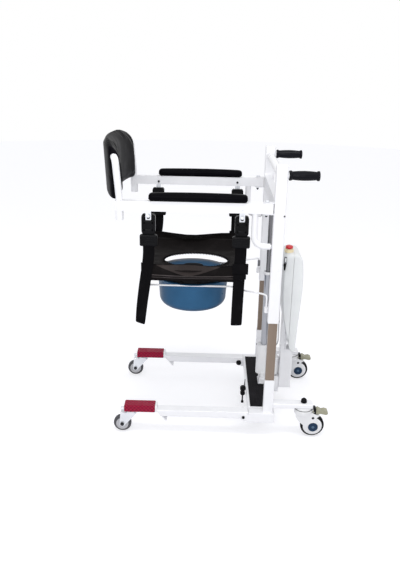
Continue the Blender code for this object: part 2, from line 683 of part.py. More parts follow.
def actuator():
    """Gear and motor housing, and the outer tube that stands on it."""
    low, high = HOUSING_Z
    oval = arc((0.1950, 0.0), HOUSING_R, 90, 270, 8) + arc((ROD_X, 0.0), HOUSING_R, -90, 90, 8)
    gear = plate("actuator_housing", [oval], high - low, plan_plane((low + high) / 2), PALE_SHELL)
    motor = rod("motor", (MOTOR_X, 0, 0.158), (MOTOR_X, 0, MOTOR_TOP), MOTOR_R, PALE_SHELL, 20, edge=0.003)
    bridge = block("gear_bridge", (ROD_X, -0.019, 0.1620), (MOTOR_X, 0.019, 0.192), PALE_SHELL, 0.003)
    foot = block("actuator_foot", (ROD_X - 0.011, -0.0245, 0.1225), (ROD_X + 0.011, 0.0245, 0.1690),
                 PALE_SHELL, 0.003)
    join(gear, (motor, bridge, foot), LIFT)
    carry(gear, LIFT)
    bore = ROD_R + RUN
    ring = [(ACT_TUBE_R, ACT_TUBE_TOP), (ACT_TUBE_R, high + GAP), (bore, high + GAP), (bore, ACT_TUBE_TOP)]
    sleeve = turned("actuator_tube", ring, (ROD_X, 0, 0), (0, 0, 1), ALUMINIUM, 20)
    collar = turned("actuator_collar", [(0.0165, ACT_TUBE_TOP + 0.012), (0.0165, ACT_TUBE_TOP - 0.004),
                                        (bore, ACT_TUBE_TOP - 0.004), (bore, ACT_TUBE_TOP + 0.012)],
                    (ROD_X, 0, 0), (0, 0, 1), ALUMINIUM, 20)
    join(sleeve, (collar,), LIFT)
    carry(sleeve, LIFT)


def rear_post():
    half = POST_Y / 2
    made = box_tube("rear_post", ((POST_X[0] + POST_X[1]) / 2, 0.0), (POST_X[1] - POST_X[0], POST_Y),
                    POST_BOTTOM, 0.286, 0.002, WHITE)
    spine = block("post_spine", (POST_X[0], -half, 0.270), (POST_X[0] + 0.018, half, 0.700), WHITE, 0.002)
    join(made, (spine,), LIFT)
    return carry(made, LIFT)


def control_box():
    """Front shroud of the control unit and the battery pack that clips on behind it."""
    seam = BATTERY_SEAM_X
    shroud_outline = [(seam, 0.7550), (0.2700, 0.7500), (0.2640, 0.7420), (0.2640, 0.6500),
                      (0.2665, 0.5500), (0.2765, 0.4510), (0.2935, 0.3800), (seam, 0.3350)]
    shroud = plate("control_box", [shroud_outline], 2 * BOX_HALF_W, side_plane(0.0), PALE_SHELL)
    soften(shroud, 0.006, 1)
    slot = block("spine_slot", (0.2300, -POST_Y / 2 - GAP, 0.2000),
                 (POST_X[0] + 0.018 + GAP, POST_Y / 2 + GAP, 0.700 + GAP), WHITE, 0.0)
    collar = rod("stop_collar", (STOP_X, STOP_Y, 0.7400), (STOP_X, STOP_Y, STOP_COLLAR_TOP), 0.0170,
                 PALE_SHELL, 20)
    stem_hole = rod("stop_hole", (STOP_X, STOP_Y, 0.7250), (STOP_X, STOP_Y, 0.80), 0.0070, WHITE, 12)
    cut(shroud, (slot,), LIFT)
    join(shroud, (collar,), LIFT)
    cut(shroud, (stem_hole,), LIFT)
    carry(shroud, LIFT)
    back = seam + GAP
    battery_axis = empty("battery_axis", (back, 0, 0.3350), LIFT)
    pack_outline = [(back, 0.7550), (0.3180, 0.7520), (0.3320, 0.7440), (0.3400, 0.7300),
                    (0.3495, 0.6400), (0.3500, 0.5900), (0.3460, 0.5400), (0.3385, 0.4700),
                    (0.3350, 0.3800), (0.3330, 0.3060), (0.3280, 0.2935), (0.3200, 0.2920),
                    (0.3120, 0.3000), (back, 0.3340)]
    pack = plate("battery_pack", [pack_outline], 2 * BOX_HALF_W, side_plane(0.0), PALE_SHELL)
    soften(pack, 0.006, 1)
    carry(pack, battery_axis)


def soften(made, width, segments=2):
    """Round the long edges of a moulded shell."""
    edge = made.modifiers.new("soft_edges", "BEVEL")
    edge.width = width
    edge.segments = segments
    edge.limit_method = "ANGLE"
    edge.angle_limit = math.radians(50)
    return made


def emergency_stop():
    """Mushroom button whose stem runs in the control box."""
    base = STOP_COLLAR_TOP + STOP_TRAVEL + GAP
    axis = empty("stop_axis", (STOP_X, STOP_Y, base), LIFT)
    profile = [(0.0, base + 0.0120), (0.0090, base + 0.0112), (0.0145, base + 0.0085), (STOP_R, base + 0.0045),
               (STOP_R, base), (0.0062, base), (0.0062, base - 0.0220), (0.0, base - 0.0220)]
    made = turned("emergency_stop", profile, (STOP_X, STOP_Y, 0), (0, 0, 1), STOP_RED, 20)
    return carry(made, axis)


def actuator_cable():
    """Lead from the control box's socket down to the motor."""
    corners = [(0.2640 - GAP, -0.052, 0.6900), (0.2555, -0.052, 0.6900), (0.2570, -0.052, 0.5000),
               (0.2620, -0.045, 0.3300), (0.2490, 0.0, 0.2780), (0.2490, 0.0, MOTOR_TOP + GAP)]
    points = bent_path(corners, (0.006, 0.200, 0.060, 0.020), 3)
    made = tube("actuator_cable", points, 0.0030, BLACK_PLASTIC, 2)
    return carry(made, LIFT)


def release_lever():
    """Cam lever in front of the footplate's lip: hub, knob and spike above it, stem and foot below."""
    x, y, z = LEVER_X, LEVER_Y, LEVER_Z
    axis = empty("lever_axis", (x, y, z), LIFT)
    near, far = y - LEVER_HALF, y + LEVER_HALF
    hub = rod("release_lever", (x, near, z), (x, far, z), 0.0110, BLACK_PLASTIC, 16, edge=0.0015)
    knob = rod("lever_knob", (x, near, z + 0.0225), (x, far, z + 0.0225), 0.0125, BLACK_PLASTIC, 16, edge=0.0020)
    spike = rod("lever_spike", (x + 0.0060, y, z + 0.0250), (x + 0.0085, y, z + 0.0680), 0.0028,
                BLACK_PLASTIC, 8, 0.0015)
    stem = rod("lever_stem", (x, y, z), (x, y, z - 0.0440), 0.0034, BLACK_PLASTIC, 8)
    foot = rod("lever_foot", (x - 0.0060, y, z - 0.0460), (x + 0.0060, y, z - 0.0460), 0.0060,
               BLACK_PLASTIC, 12, edge=0.0015)
    bore = rod("lever_bore", (x, near + 0.003, z), (x, far + 0.010, z), LEVER_PIN_R + GAP, BLACK_PLASTIC, 12)
    join(hub, (knob, spike, stem, foot), axis)
    cut(hub, (bore,), axis)
    return carry(hub, axis)


# Casters

def front_caster(side, s):
    y = s * WHEEL_Y
    swivel = empty(side + "_front_swivel", (FRONT_SWIVEL_X, y, FRONT_FORK_TOP), LIFT)
    hub = (FRONT_AXLE_X, FRONT_WHEEL_R)
    cheek_y = FRONT_TYRE_W / 2 + 0.0035
    front_x, back_x = [FRONT_AXLE_X + reach for reach in FORK_REACH]
    outline = tangent_outline(front_x, back_x, FRONT_FORK_TOP - 0.002, hub, 0.0115)
    crown = block(side + "_front_fork", (front_x, y - cheek_y - 0.0012, FRONT_FORK_TOP - 0.0030),
                  (back_x, y + cheek_y + 0.0012, FRONT_FORK_TOP), ZINC, 0.0008)
    cheeks = [plate(side + "_fork_cheek_%d" % i, [outline], 0.0024, side_plane(y + face * cheek_y), ZINC)
              for i, face in enumerate((-1.0, 1.0))]
    race = turned(side + "_race", [(0.0, 0.1000), (0.0180, 0.1000), (0.0215, 0.0960),
                                   (0.0215, FRONT_FORK_TOP - 0.001), (0.0, FRONT_FORK_TOP - 0.001)],
                  (FRONT_SWIVEL_X, y, 0), (0, 0, 1), ZINC, 16)
    axle = rod(side + "_axle", (hub[0], y - cheek_y - 0.004, hub[1]), (hub[0], y + cheek_y + 0.004, hub[1]),
               0.0042, ZINC, 12)
    nuts = [rod(side + "_nut_%d" % i, (hub[0], y + face * (cheek_y + 0.0008), hub[1]),
                (hub[0], y + face * (cheek_y + 0.0045), hub[1]), 0.0070, ZINC, 6)
            for i, face in enumerate((-1.0, 1.0))]
    join(crown, cheeks + [race, axle] + nuts, swivel)
    carry(crown, swivel)
    wheel_axis = empty(side + "_front_axle", (hub[0], y, hub[1]), swivel)
    half = FRONT_TYRE_W / 2
    r = FRONT_WHEEL_R
    bore = 0.0042 + RUN
    flank = [(bore, half + 0.0012), (0.0095, half + 0.0012), (0.0110, half - 0.0060), (0.0250, half - 0.0050),
             (0.0275, half), (r, half - 0.0070)]
    profile = flank + [(radius, -height) for radius, height in reversed(flank)]
    wheel = turned(side + "_front_wheel", profile, (hub[0], y, hub[1]), (0, 1, 0), GREY_TYRE, 24)
    return carry(wheel, wheel_axis)


def rear_caster(side, s):
    y = s * WHEEL_Y
    top = BEAM_BOTTOM - GAP
    swivel = empty(side + "_rear_swivel", (REAR_SWIVEL_X, y, top), LIFT)
    hub = (REAR_AXLE_X, REAR_WHEEL_R)
    cheek_y = REAR_TYRE_W / 2 + 0.0040
    neck = turned(side + "_rear_caster_housing",
                  [(0.0, top), (0.0320, top), (0.0385, top - 0.0120),
                   (0.0370, 0.1080), (0.0, 0.1080)],
                  (REAR_SWIVEL_X, y, 0), (0, 0, 1), CASTER_SHELL, 20)
    shell = ([(REAR_SWIVEL_X - 0.0360, 0.1160), (REAR_SWIVEL_X - 0.0330, 0.0950), (REAR_SWIVEL_X - 0.0180, 0.0720)]
             + arc(hub, 0.0285, 188, 405, 9)
             + [(REAR_AXLE_X + 0.0125, 0.0880), (REAR_AXLE_X + 0.0270, 0.1030), (REAR_AXLE_X + 0.0120, 0.1060),
                (REAR_SWIVEL_X + 0.0300, 0.1160)])
    cheeks = [plate(side + "_rear_cheek_%d" % i, [shell], 0.0036, side_plane(y + face * cheek_y), CASTER_SHELL)
              for i, face in enumerate((-1.0, 1.0))]
    hood_outline = arc(hub, 0.0555, 62, 150, 6) + arc(hub, 0.0525, 150, 62, 6)
    hood = plate(side + "_hood", [hood_outline], 2 * cheek_y + 0.001, side_plane(y), CASTER_SHELL)
    caps = [rod(side + "_hub_cap_%d" % i, (hub[0], y + face * (cheek_y - 0.001), hub[1]),
                (hub[0], y + face * (cheek_y + 0.0045), hub[1]), 0.0220, CASTER_SHELL, 16, 0.0200)
            for i, face in enumerate((-1.0, 1.0))]
    axle = rod(side + "_rear_axle_pin", (hub[0], y - cheek_y, hub[1]), (hub[0], y + cheek_y, hub[1]),
               0.0050, CASTER_SHELL, 12)
    pin_z = 0.1165
    pin_x = REAR_AXLE_X + 0.0040
    lug = block(side + "_pedal_lug", (REAR_SWIVEL_X + 0.0200, y - 0.0090, 0.1065),
                (pin_x + 0.0010, y + 0.0090, 0.1215), CASTER_SHELL, 0.002)
    pin = rod(side + "_pedal_pin", (pin_x, y - 0.0165, pin_z), (pin_x, y + 0.0165, pin_z), 0.0030,
              CASTER_SHELL, 12)
    join(neck, cheeks + [hood] + caps + [axle, lug, pin], swivel)
    carry(neck, swivel)
    wheel_axis = empty(side + "_rear_axle", (hub[0], y, hub[1]), swivel)
    half = REAR_TYRE_W / 2
    r = REAR_WHEEL_R
    bore = 0.0050 + RUN
    flank = [(bore, half + 0.0012), (0.0140, half + 0.0012), (0.0140, half - 0.0020), (0.0370, half - 0.0020),
             (0.0400, half), (r, half - 0.0070)]
    profile = flank + [(radius, -height) for radius, height in reversed(flank)]
    wheel = turned(side + "_rear_wheel", profile, (hub[0], y, hub[1]), (0, 1, 0), BLACK_RUBBER, 24)
    carry(wheel, wheel_axis)
    pedal_axis = empty(side + "_pedal_axis", (pin_x, y, pin_z), swivel)
    body = arc((pin_x, pin_z), 0.0068, 100, 260, 6) + [
        (pin_x + 0.0170, 0.1090), (pin_x + 0.0270, 0.1110), (pin_x + 0.0480, 0.1060),
        (pin_x + 0.0560, 0.1100), (pin_x + 0.0560, 0.1180), (pin_x + 0.0440, 0.1220),
        (pin_x + 0.0300, 0.1190), (pin_x + 0.0170, 0.1270)]
    pedal = plate(side + "_brake_pedal", [body], 0.0360, side_plane(y), PEDAL_OLIVE)
    relief = block(side + "_pedal_relief", (pin_x - 0.020, y - 0.0098, 0.1000),
                   (pin_x + 0.0085, y + 0.0098, 0.1400), PEDAL_OLIVE, 0.0)
    pin_hole = rod(side + "_pedal_bore", (pin_x, y - 0.0172, pin_z), (pin_x, y + 0.0172, pin_z), 0.0034,
                   PEDAL_OLIVE, 12)
    flanks = [block(side + "_pedal_flank_%d" % i, (pin_x - 0.020, y + min(face * 0.0150, face * 0.0300), 0.1000),
                    (pin_x + 0.0120, y + max(face * 0.0150, face * 0.0300), 0.1400), PEDAL_OLIVE, 0.0)
              for i, face in enumerate((-1.0, 1.0))]
    cut(pedal, (relief, pin_hole, *flanks), pedal_axis)
    return carry(pedal, pedal_axis)


# Lifting carriage

def column(side, s):
    """Outer column with a closed top, hinge lugs, grip stub and socket for the pan's wire."""
    y = s * WHEEL_Y
    made = box_tube(side + "_column", (MAST_X, y), (COLUMN_X, COLUMN_Y), COLUMN_BOTTOM, COLUMN_TOP,
                    TUBE_WALL, WHITE, 0.004)
    lid = block(side + "_column_lid", (MAST_FRONT_X, y - COLUMN_Y / 2, COLUMN_TOP - 0.003),
                (MAST_BACK_X, y + COLUMN_Y / 2, COLUMN_TOP + 0.0012), WHITE, 0.0011)
    arm_y = s * ARM_Y
    lugs = []
    for name, low in (("upper", ARM_TOP + 0.0005), ("lower", ARM_BOTTOM - 0.0005 - LUG_T)):
        outline = ([(MAST_FRONT_X + 0.001, arm_y + 0.0115), (HINGE_X, arm_y + 0.0115)]
                   + arc((HINGE_X, arm_y), 0.0115, 110, 250, 4)
                   + [(HINGE_X, arm_y - 0.0115), (MAST_FRONT_X + 0.001, arm_y - 0.0115)])
        lugs.append(plate(side + "_lug_" + name, [outline], LUG_T, plan_plane(low + LUG_T / 2), WHITE))
    stub = rod(side + "_grip_stub", (MAST_BACK_X - 0.001, s * 0.2600, GRIP_Z),
               (MAST_BACK_X + 0.100, s * 0.2600, GRIP_Z), GRIP_STUB_R, WHITE, 14)
    cup = rod(side + "_wire_cup", (WIRE_POST_X, s * WIRE_POST_Y, WIRE_POST_BOTTOM - 0.005),
              (WIRE_POST_X, s * WIRE_POST_Y, WIRE_POST_BOTTOM + 0.018), 0.0080, WHITE, 10)
    join(made, [lid] + lugs + [stub, cup], CARRIAGE)
    pin_hole = rod(side + "_hinge_bore", (HINGE_X, arm_y, ARM_BOTTOM - 0.02), (HINGE_X, arm_y, ARM_TOP + 0.02),
                   HINGE_PIN_R + GAP, WHITE, 12)
    wire_hole = rod(side + "_wire_bore", (WIRE_POST_X, s * WIRE_POST_Y, WIRE_POST_BOTTOM - GAP),
                    (WIRE_POST_X, s * WIRE_POST_Y, WIRE_POST_BOTTOM + 0.05), WIRE_R + 0.0008, WHITE, 10)
    cut(made, (pin_hole, wire_hole), CARRIAGE)
    return carry(made, CARRIAGE)


def cross_bars():
    """Round upper bar and deep lower bar of the head frame, hollow, between the columns."""
    half = COLUMN_INNER_Y - GAP
    bore = TOP_BAR_R - TUBE_WALL
    ring = [(TOP_BAR_R, half), (TOP_BAR_R, -half), (bore, -half), (bore, half)]
    carry(turned("top_bar", ring, (MAST_X, 0, TOP_BAR_Z), (0, 1, 0), WHITE, 20), CARRIAGE)
    rise = 0.012
    low = ([(-half, LOWER_BAR_Z[0]), (half, LOWER_BAR_Z[0]), (half, LOWER_BAR_Z[1] + rise)]
           + arc((half - rise, LOWER_BAR_Z[1] + rise), rise, 0, -90, 4)
           + arc((-half + rise, LOWER_BAR_Z[1] + rise), rise, 270, 180, 4))
    beam = plate("lower_bar", [low], BAR_DEPTH, front_plane(MAST_FRONT_X + BAR_DEPTH / 2), WHITE)
    hollow = block("bar_hollow", (MAST_FRONT_X + TUBE_WALL, -half - 0.02, LOWER_BAR_Z[0] + BAR_FLOOR),
                   (MAST_FRONT_X + BAR_DEPTH - TUBE_WALL, half + 0.02, LOWER_BAR_Z[1] - TUBE_WALL), WHITE, 0.0)
    cup = rod("rod_cup", (ROD_X, 0, LOWER_BAR_Z[0] - 0.026), (ROD_X, 0, LOWER_BAR_Z[0] + 0.004), 0.0145, WHITE, 16)
    rod_bore = rod("rod_cup_bore", (ROD_X, 0, LOWER_BAR_Z[0] - 0.04), (ROD_X, 0, LOWER_BAR_Z[0] - 0.002),
                   ROD_R + 0.0006, WHITE, 16)
    cut(beam, (hollow,), CARRIAGE)
    join(beam, (cup,), CARRIAGE)
    cut(beam, (rod_bore,), CARRIAGE)
    return carry(beam, CARRIAGE)


def actuator_rod():
    made = rod("actuator_rod", (ROD_X, 0, ROD_BOTTOM), (ROD_X, 0, LOWER_BAR_Z[0] - 0.002 - GAP), ROD_R,
               ALUMINIUM, 20, edge=0.001)
    return carry(made, CARRIAGE)


def grip(side, s):
    """Moulded grip with a swollen middle and a flange at each end."""
    length = GRIP_LENGTH
    bore = GRIP_STUB_R + GAP
    deep = MAST_BACK_X + 0.100 + GAP - (MAST_BACK_X + 0.0042)
    profile = [(0.0, length), (0.0150, length), (GRIP_R, length - 0.0020), (GRIP_R, length - 0.0080),
               (0.0160, length - 0.0120)]
    profile += [(0.0160 + 0.0026 * math.sin(math.pi * t / 4), length - 0.0120 - (length - 0.024) * t / 4)
                for t in range(1, 4)]
    profile += [(0.0160, 0.0120), (GRIP_R, 0.0080), (GRIP_R, 0.0020), (0.0175, 0.0), (bore, 0.0),
                (bore, deep), (0.0, deep)]
    made = turned(side + "_grip", profile, (MAST_BACK_X + 0.0042, s * 0.2600, GRIP_Z), (1, 0, 0),
                  BLACK_RUBBER, 16)
    return carry(made, CARRIAGE)


def pan_frame():
    """Wire carrier: two rails under the pan's rim, a cross wire and two legs into the columns."""
    rails = []
    for side, s in SIDES:
        corners = [(WIRE_FRONT_X, s * WIRE_Y, WIRE_Z), (0.045, s * WIRE_Y, WIRE_Z), (0.096, s * 0.200, WIRE_Z),
                   (0.162, s * 0.230, WIRE_Z), (WIRE_POST_X, s * WIRE_POST_Y, WIRE_Z),
                   (WIRE_POST_X, s * WIRE_POST_Y, WIRE_POST_BOTTOM)]
        path = bent_path(corners, (0.030, 0.040, 0.020, 0.0085), 2)
        rails.append(tube(side + "_rail", path, WIRE_R, WHITE, 2))
    across = rod("cross_wire", (WIRE_BACK_X, -WIRE_Y - 0.018, WIRE_Z), (WIRE_BACK_X, WIRE_Y + 0.018, WIRE_Z),
                 WIRE_R * 0.98, WHITE, 10)
    across.name = "pan_frame"
    join(across, rails, CARRIAGE)
    return carry(across, CARRIAGE)


def pan():
    """Deep round pan hung by its rim, and the lid that lies in it."""
    axis = empty("pan_axis", (PAN_X, 0, WIRE_Z), CARRIAGE)
    rim_low = WIRE_Z + WIRE_R + GAP
    rim_top = rim_low + 0.0030
    w = PAN_WALL
    corner = PAN_CORNER
    wall_low = PAN_BOTTOM + corner
    low_r = PAN_WALL_R - 0.008
    outer = [(PAN_RIM_R - 0.0010, rim_top), (PAN_RIM_R, rim_top - 0.0010), (PAN_RIM_R, rim_low),
             (PAN_WALL_R, rim_low)]
    outer += [(low_r - corner + corner * math.cos(math.radians(a)), wall_low - corner * math.sin(math.radians(a)))
              for a in (0, 26, 52, 76)]
    outer += [(PAN_FLOOR_R, PAN_BOTTOM), (0.0, PAN_BOTTOM)]
    inner = [(0.0, PAN_BOTTOM + w)]
    inner += [(low_r - corner + (corner - w) * math.cos(math.radians(a)),
               wall_low - (corner - w) * math.sin(math.radians(a)))
              for a in (76, 52, 26, 0)]
    inner += [(PAN_WALL_R - w, rim_top)]
    profile = [(0.0, PAN_BOTTOM + w)] + inner[1:] + outer
    made = turned("commode_pan", profile, (PAN_X, 0, 0), (0, 0, 1), PAN_BLUE, 28)
    carry(made, axis)
    seat = rim_top + GAP
    plug = PAN_WALL_R - w - 0.004
    lid_profile = [(0.0, seat + 0.0120), (0.060, seat + 0.0100), (0.110, seat + 0.0050),
                   (LID_R, seat + 0.0026), (LID_R, seat), (plug, seat),
                   (plug, seat - 0.0080), (plug - 0.003, seat - 0.0080), (plug - 0.003, seat + 0.0002),
                   (0.110, seat + 0.0022), (0.060, seat + 0.0072), (0.0, seat + 0.0092)]
    lid_axis = empty("lid_axis", (PAN_X, 0, seat), axis)
    lid = turned("pan_lid", lid_profile, (PAN_X, 0, 0), (0, 0, 1), PAN_BLUE, 24)
    grip_half = LID_HANDLE_W / 2
    handle_top = WIRE_Z + LID_HANDLE_RISE
    base = seat + 0.0100
    outline = ([(PAN_X - grip_half, base), (PAN_X + grip_half, base), (PAN_X + grip_half - 0.006, handle_top - 0.010)]
               + [(PAN_X + 0.022, handle_top), (PAN_X - 0.022, handle_top),
                  (PAN_X - grip_half + 0.006, handle_top - 0.010)])
    handle = plate("lid_handle", [outline], 0.024, side_plane(0.0), BLACK_PLASTIC)
    join(lid, (handle,), lid_axis)
    return carry(lid, lid_axis)


# Arms and backrest

def arm(side, s):
    """Box tube arm with its brace and the socket for the backrest post."""
    y = s * ARM_Y
    axis = empty(side + "_arm_axis", (HINGE_X, y, ARM_BOTTOM), CARRIAGE)
    half = ARM_W / 2
    reach = math.degrees(math.asin(half / HINGE_SWEEP_R))
    outline = ([(ARM_FRONT_X, y + half), (ARM_FRONT_X, y - half)]
               + arc((HINGE_X, y), HINGE_SWEEP_R, -reach, reach, 4))
    bar = plate(side + "_arm", [outline], ARM_H, plan_plane(ARM_BOTTOM + ARM_H / 2), WHITE)
    inside = block(side + "_arm_hollow",
                   (POST_SOCKET_X + BACK_POST_R + 0.006, y - half + TUBE_WALL, ARM_BOTTOM + TUBE_WALL),
                   (HINGE_X + 0.04, y + half - TUBE_WALL, ARM_TOP - TUBE_WALL), WHITE, 0.0)
    corners = [(BRACE_X, y, ARM_BOTTOM + 0.001), (BRACE_X, y, BRACE_Z), (HINGE_X + 0.0210, y, BRACE_Z)]
    brace = tube(side + "_brace", bent_path(corners, (BRACE_BEND,), 5), BRACE_R, WHITE, 3)
    foot = rod(side + "_brace_foot", (HINGE_X + 0.0190, y, BRACE_Z), (HINGE_X + 0.0262, y, BRACE_Z),
               BRACE_R * 0.95, WHITE, 12, 0.0060)
    socket_y = s * POST_SOCKET_Y
    socket = rod(side + "_post_socket", (POST_SOCKET_X, socket_y, STUB_BOTTOM),
                 (POST_SOCKET_X, socket_y, ARM_TOP), BACK_POST_R + 0.0025, WHITE, 16)
    cut(bar, (inside,), axis)
    join(bar, (brace, foot, socket), axis)
    holes = [rod(side + "_arm_bore", (HINGE_X, y, ARM_BOTTOM - 0.01), (HINGE_X, y, ARM_TOP + 0.01),
                 HINGE_PIN_R + GAP, WHITE, 12)]
    if s < 0:
        holes.append(rod(side + "_post_bore", (POST_SOCKET_X, socket_y, STUB_BOTTOM - 0.01),
                         (POST_SOCKET_X, socket_y, ARM_TOP + 0.01), BACK_POST_R + 0.0008, WHITE, 14))
    cut(bar, holes, axis)
    carry(bar, axis)
    return axis


def hinge_pin(side, s):
    """Headed pin through the column's lugs and the arm."""
    y = s * ARM_Y
    low = ARM_BOTTOM - 0.0005 - LUG_T - GAP
    high = ARM_TOP + 0.0005 + LUG_T + GAP
    shaft = rod(side + "_hinge_pin", (HINGE_X, y, low - 0.002), (HINGE_X, y, high + 0.002), HINGE_PIN_R, ZINC, 12)
    upper = rod(side + "_pin_head", (HINGE_X, y, high), (HINGE_X, y, high + 0.0055), 0.0085, ZINC, 12, edge=0.001)
    lower = rod(side + "_pin_foot", (HINGE_X, y, low - 0.0035), (HINGE_X, y, low), 0.0070, ZINC, 6)
    join(shaft, (upper, lower), CARRIAGE)
    return carry(shaft, CARRIAGE)


def arm_pad(side, s, axis):
    """Cushion with a crowned top and rounded ends, on the arm."""
    y = s * ARM_Y
    base = ARM_TOP + GAP
    x0, x1 = ARM_PAD_X
    bm = bmesh.new()
    bmesh.ops.create_cube(bm, size=1.0)
    cuts = [e for e in bm.edges if abs(e.verts[0].co.x - e.verts[1].co.x) > 0.5]
    bmesh.ops.subdivide_edges(bm, edges=cuts, cuts=5, use_grid_fill=True)
    rounds = [e for e in bm.edges if abs(e.verts[0].co.y - e.verts[1].co.y) > 0.5
              or abs(e.verts[0].co.z - e.verts[1].co.z) > 0.5]
    bmesh.ops.subdivide_edges(bm, edges=rounds, cuts=1, use_grid_fill=True)
    for v in bm.verts:
        t = v.co.x * 2
        end = 1.0 - 0.55 * max(0.0, (abs(t) - 0.75) / 0.25) ** 2
        lift = v.co.z + 0.5
        crown = 1.0 + 0.10 * (1.0 - (2 * v.co.y) ** 2) * lift
        v.co = ((x0 + x1) / 2 + v.co.x * (x1 - x0), y + v.co.y * ARM_PAD_W * end,
                base + lift * ARM_PAD_H * (0.75 + 0.25 * end) * crown)
    pad = from_bmesh(side + "_arm_pad", bm, BLACK_VINYL, 60.0)
    soft = pad.modifiers.new("soft", "SUBSURF")
    soft.levels = 1
    soft.render_levels = 1
    return carry(pad, axis)


def tongue(name, x, s, axis):
    """Steel hanger: a plate under the arm with a window for the buckle's peg."""
    y = s * (HANGER_Y + 0.0060)
    outline = rectangle((x - 0.0105, ARM_BOTTOM - TONGUE_DROP), (x + 0.0105, ARM_BOTTOM - GAP), 0.002, 1)
    window = rectangle((x - 0.0060, ARM_BOTTOM - TONGUE_WINDOW[0]), (x + 0.0060, ARM_BOTTOM - TONGUE_WINDOW[1]),
                       0.001, 1)
    made = plate(name, [outline, window], 0.0030, side_plane(y), ZINC)
    flange = block(name + "_flange", (x - 0.0105, min(y, y + s * 0.012), ARM_BOTTOM - GAP - 0.003),
                   (x + 0.0105, max(y, y + s * 0.012), ARM_BOTTOM - GAP), ZINC, 0.0005)
    join(made, (flange,), axis)
    return carry(made, axis)


def buckle(name, x, s):
    """Plastic buckle with a recess for the steel tongue, and the web adjuster below it."""
    y = s * HANGER_Y
    half = BUCKLE_T / 2
    outline = rectangle((x - BUCKLE_W / 2, BUCKLE_Z[0]), (x + BUCKLE_W / 2, BUCKLE_Z[1]), 0.010, 3)
    body = plate(name, [outline], BUCKLE_T, side_plane(y), BLACK_PLASTIC)
    soften(body, 0.003, 1)
    neck = block(name + "_neck", (x - 0.024, y - 0.0030, ADJUSTER_Z[1] - 0.003),
                 (x + 0.024, y + 0.0030, BUCKLE_Z[0] + 0.003), BLACK_PLASTIC, 0.0)
    slider = block(name + "_slider", (x - ADJUSTER_W / 2, y - half, ADJUSTER_Z[0]),
                   (x + ADJUSTER_W / 2, y + half, ADJUSTER_Z[1]), BLACK_PLASTIC, 0.004, 1)
    recess_in = y + s * 0.0035
    recess_out = y + s * 0.03
    recess = block(name + "_recess", (x - 0.0150, min(recess_in, recess_out), ARM_BOTTOM - TONGUE_DROP - 0.007),
                   (x + 0.0150, max(recess_in, recess_out), ARM_BOTTOM), BLACK_PLASTIC, 0.0)
    peg_y = sorted((y + s * 0.0025, y + s * 0.0100))
    peg_low = ARM_BOTTOM - TONGUE_WINDOW[0] + GAP
    peg = block(name + "_peg", (x - 0.0030, peg_y[0], peg_low), (x + 0.0030, peg_y[1], peg_low + 0.0062),
                BLACK_PLASTIC, 0.0)
    cut(body, (recess,), CARRIAGE)
    join(body, (neck, slider, peg), CARRIAGE)
    return carry(body, CARRIAGE)


def backrest(left_axis):
    """Hoop whose left post slides into the left arm, and the curved pad round its upper run."""
    axis = empty("backrest_axis", (POST_SOCKET_X, -POST_SOCKET_Y, ARM_TOP), left_axis)
    bend_z = ARM_TOP + 0.012
    top_x = POST_SOCKET_X - (HOOP_TOP_Z - bend_z) * math.tan(BACK_LEAN)
    near, far = [bent_path([(POST_SOCKET_X, s * POST_SOCKET_Y, foot), (POST_SOCKET_X, s * POST_SOCKET_Y, bend_z),
                            (top_x, s * POST_SOCKET_Y, HOOP_TOP_Z), pad_middle(s * 0.205, HOOP_TOP_Z)],
                           (0.060, HOOP_BEND), 3)
                 for s, foot in ((-1.0, STUB_BOTTOM + 0.007), (1.0, ARM_TOP + GAP))]
    across = [pad_middle(0.05 * i, HOOP_TOP_Z) for i in range(-3, 4)]
    path = near + across + far[::-1]
    hoop = tube("backrest_frame", path, BACK_POST_R, WHITE, 3)
    carry(hoop, axis)
    pad = backrest_pad()
    tunnel = tube("hoop_tunnel", path, BACK_POST_R + 0.0006, BLACK_VINYL, 3)
    cut(pad, (tunnel,), axis)
    return carry(pad, axis)


def pad_middle(y, z):
    """Middle of the backrest pad's thickness: bowed to the front and leaning."""
    t = min(1.0, abs(y) / BACK_HALF_W)
    return Vector((PAD_X - BACK_BOW * (1.0 - t ** 1.8) - (z - BACK_BOTTOM) * math.tan(PAD_LEAN), y, z))


def backrest_pad():
    """Bowed cushion: thick in the middle, thinner along its rim, with sloping top corners."""
    columns, rows = 12, 7

    def middle(u, v):
        t = abs(u * 2 - 1)
        top = BACK_TOP - 0.045 * max(0.0, (t - 0.30) / 0.70) ** 1.6
        bottom = BACK_BOTTOM + 0.006 * t
        return pad_middle((u * 2 - 1) * BACK_HALF_W, bottom + (top - bottom) * v)

    bm = bmesh.new()
    bmesh.ops.create_grid(bm, x_segments=columns, y_segments=rows, size=0.5)
    faces = bm.faces[:]
    for v in bm.verts:
        v.co.z = 0.0
    copy = bmesh.ops.extrude_face_region(bm, geom=faces)
    upper = [g for g in copy["geom"] if isinstance(g, bmesh.types.BMVert)]
    raised = set(upper)
    for v in bm.verts:
        u, w = v.co.x + 0.5, v.co.y + 0.5
        face = 1.0 if v in raised else -1.0
        edge = 0.55 + 0.20 * min(1.0, min(u, 1 - u) / 0.10) + 0.25 * min(1.0, min(w, 1 - w) / 0.16)
        v.co = middle(u, w) + Vector((face * edge * BACK_T / 2, 0.0, 0.0))
    return from_bmesh("backrest_pad", bm, BLACK_VINYL, 60.0)


# Seat sling

def webbing(name, centres, width, thickness):
    """A strap of even width whose middle line runs through the given points, width along X."""
    count = len(centres)

    def place(u, v):
        at = v * (count - 1)
        i = min(int(at), count - 2)
        t = at - i
        middle = Vector(centres[i]).lerp(Vector(centres[i + 1]), t)
        return middle + Vector(((u - 0.5) * width, 0.0, 0.0))

    return grid_sheet(name, 1, count - 1, place, thickness, BLACK_NYLON)


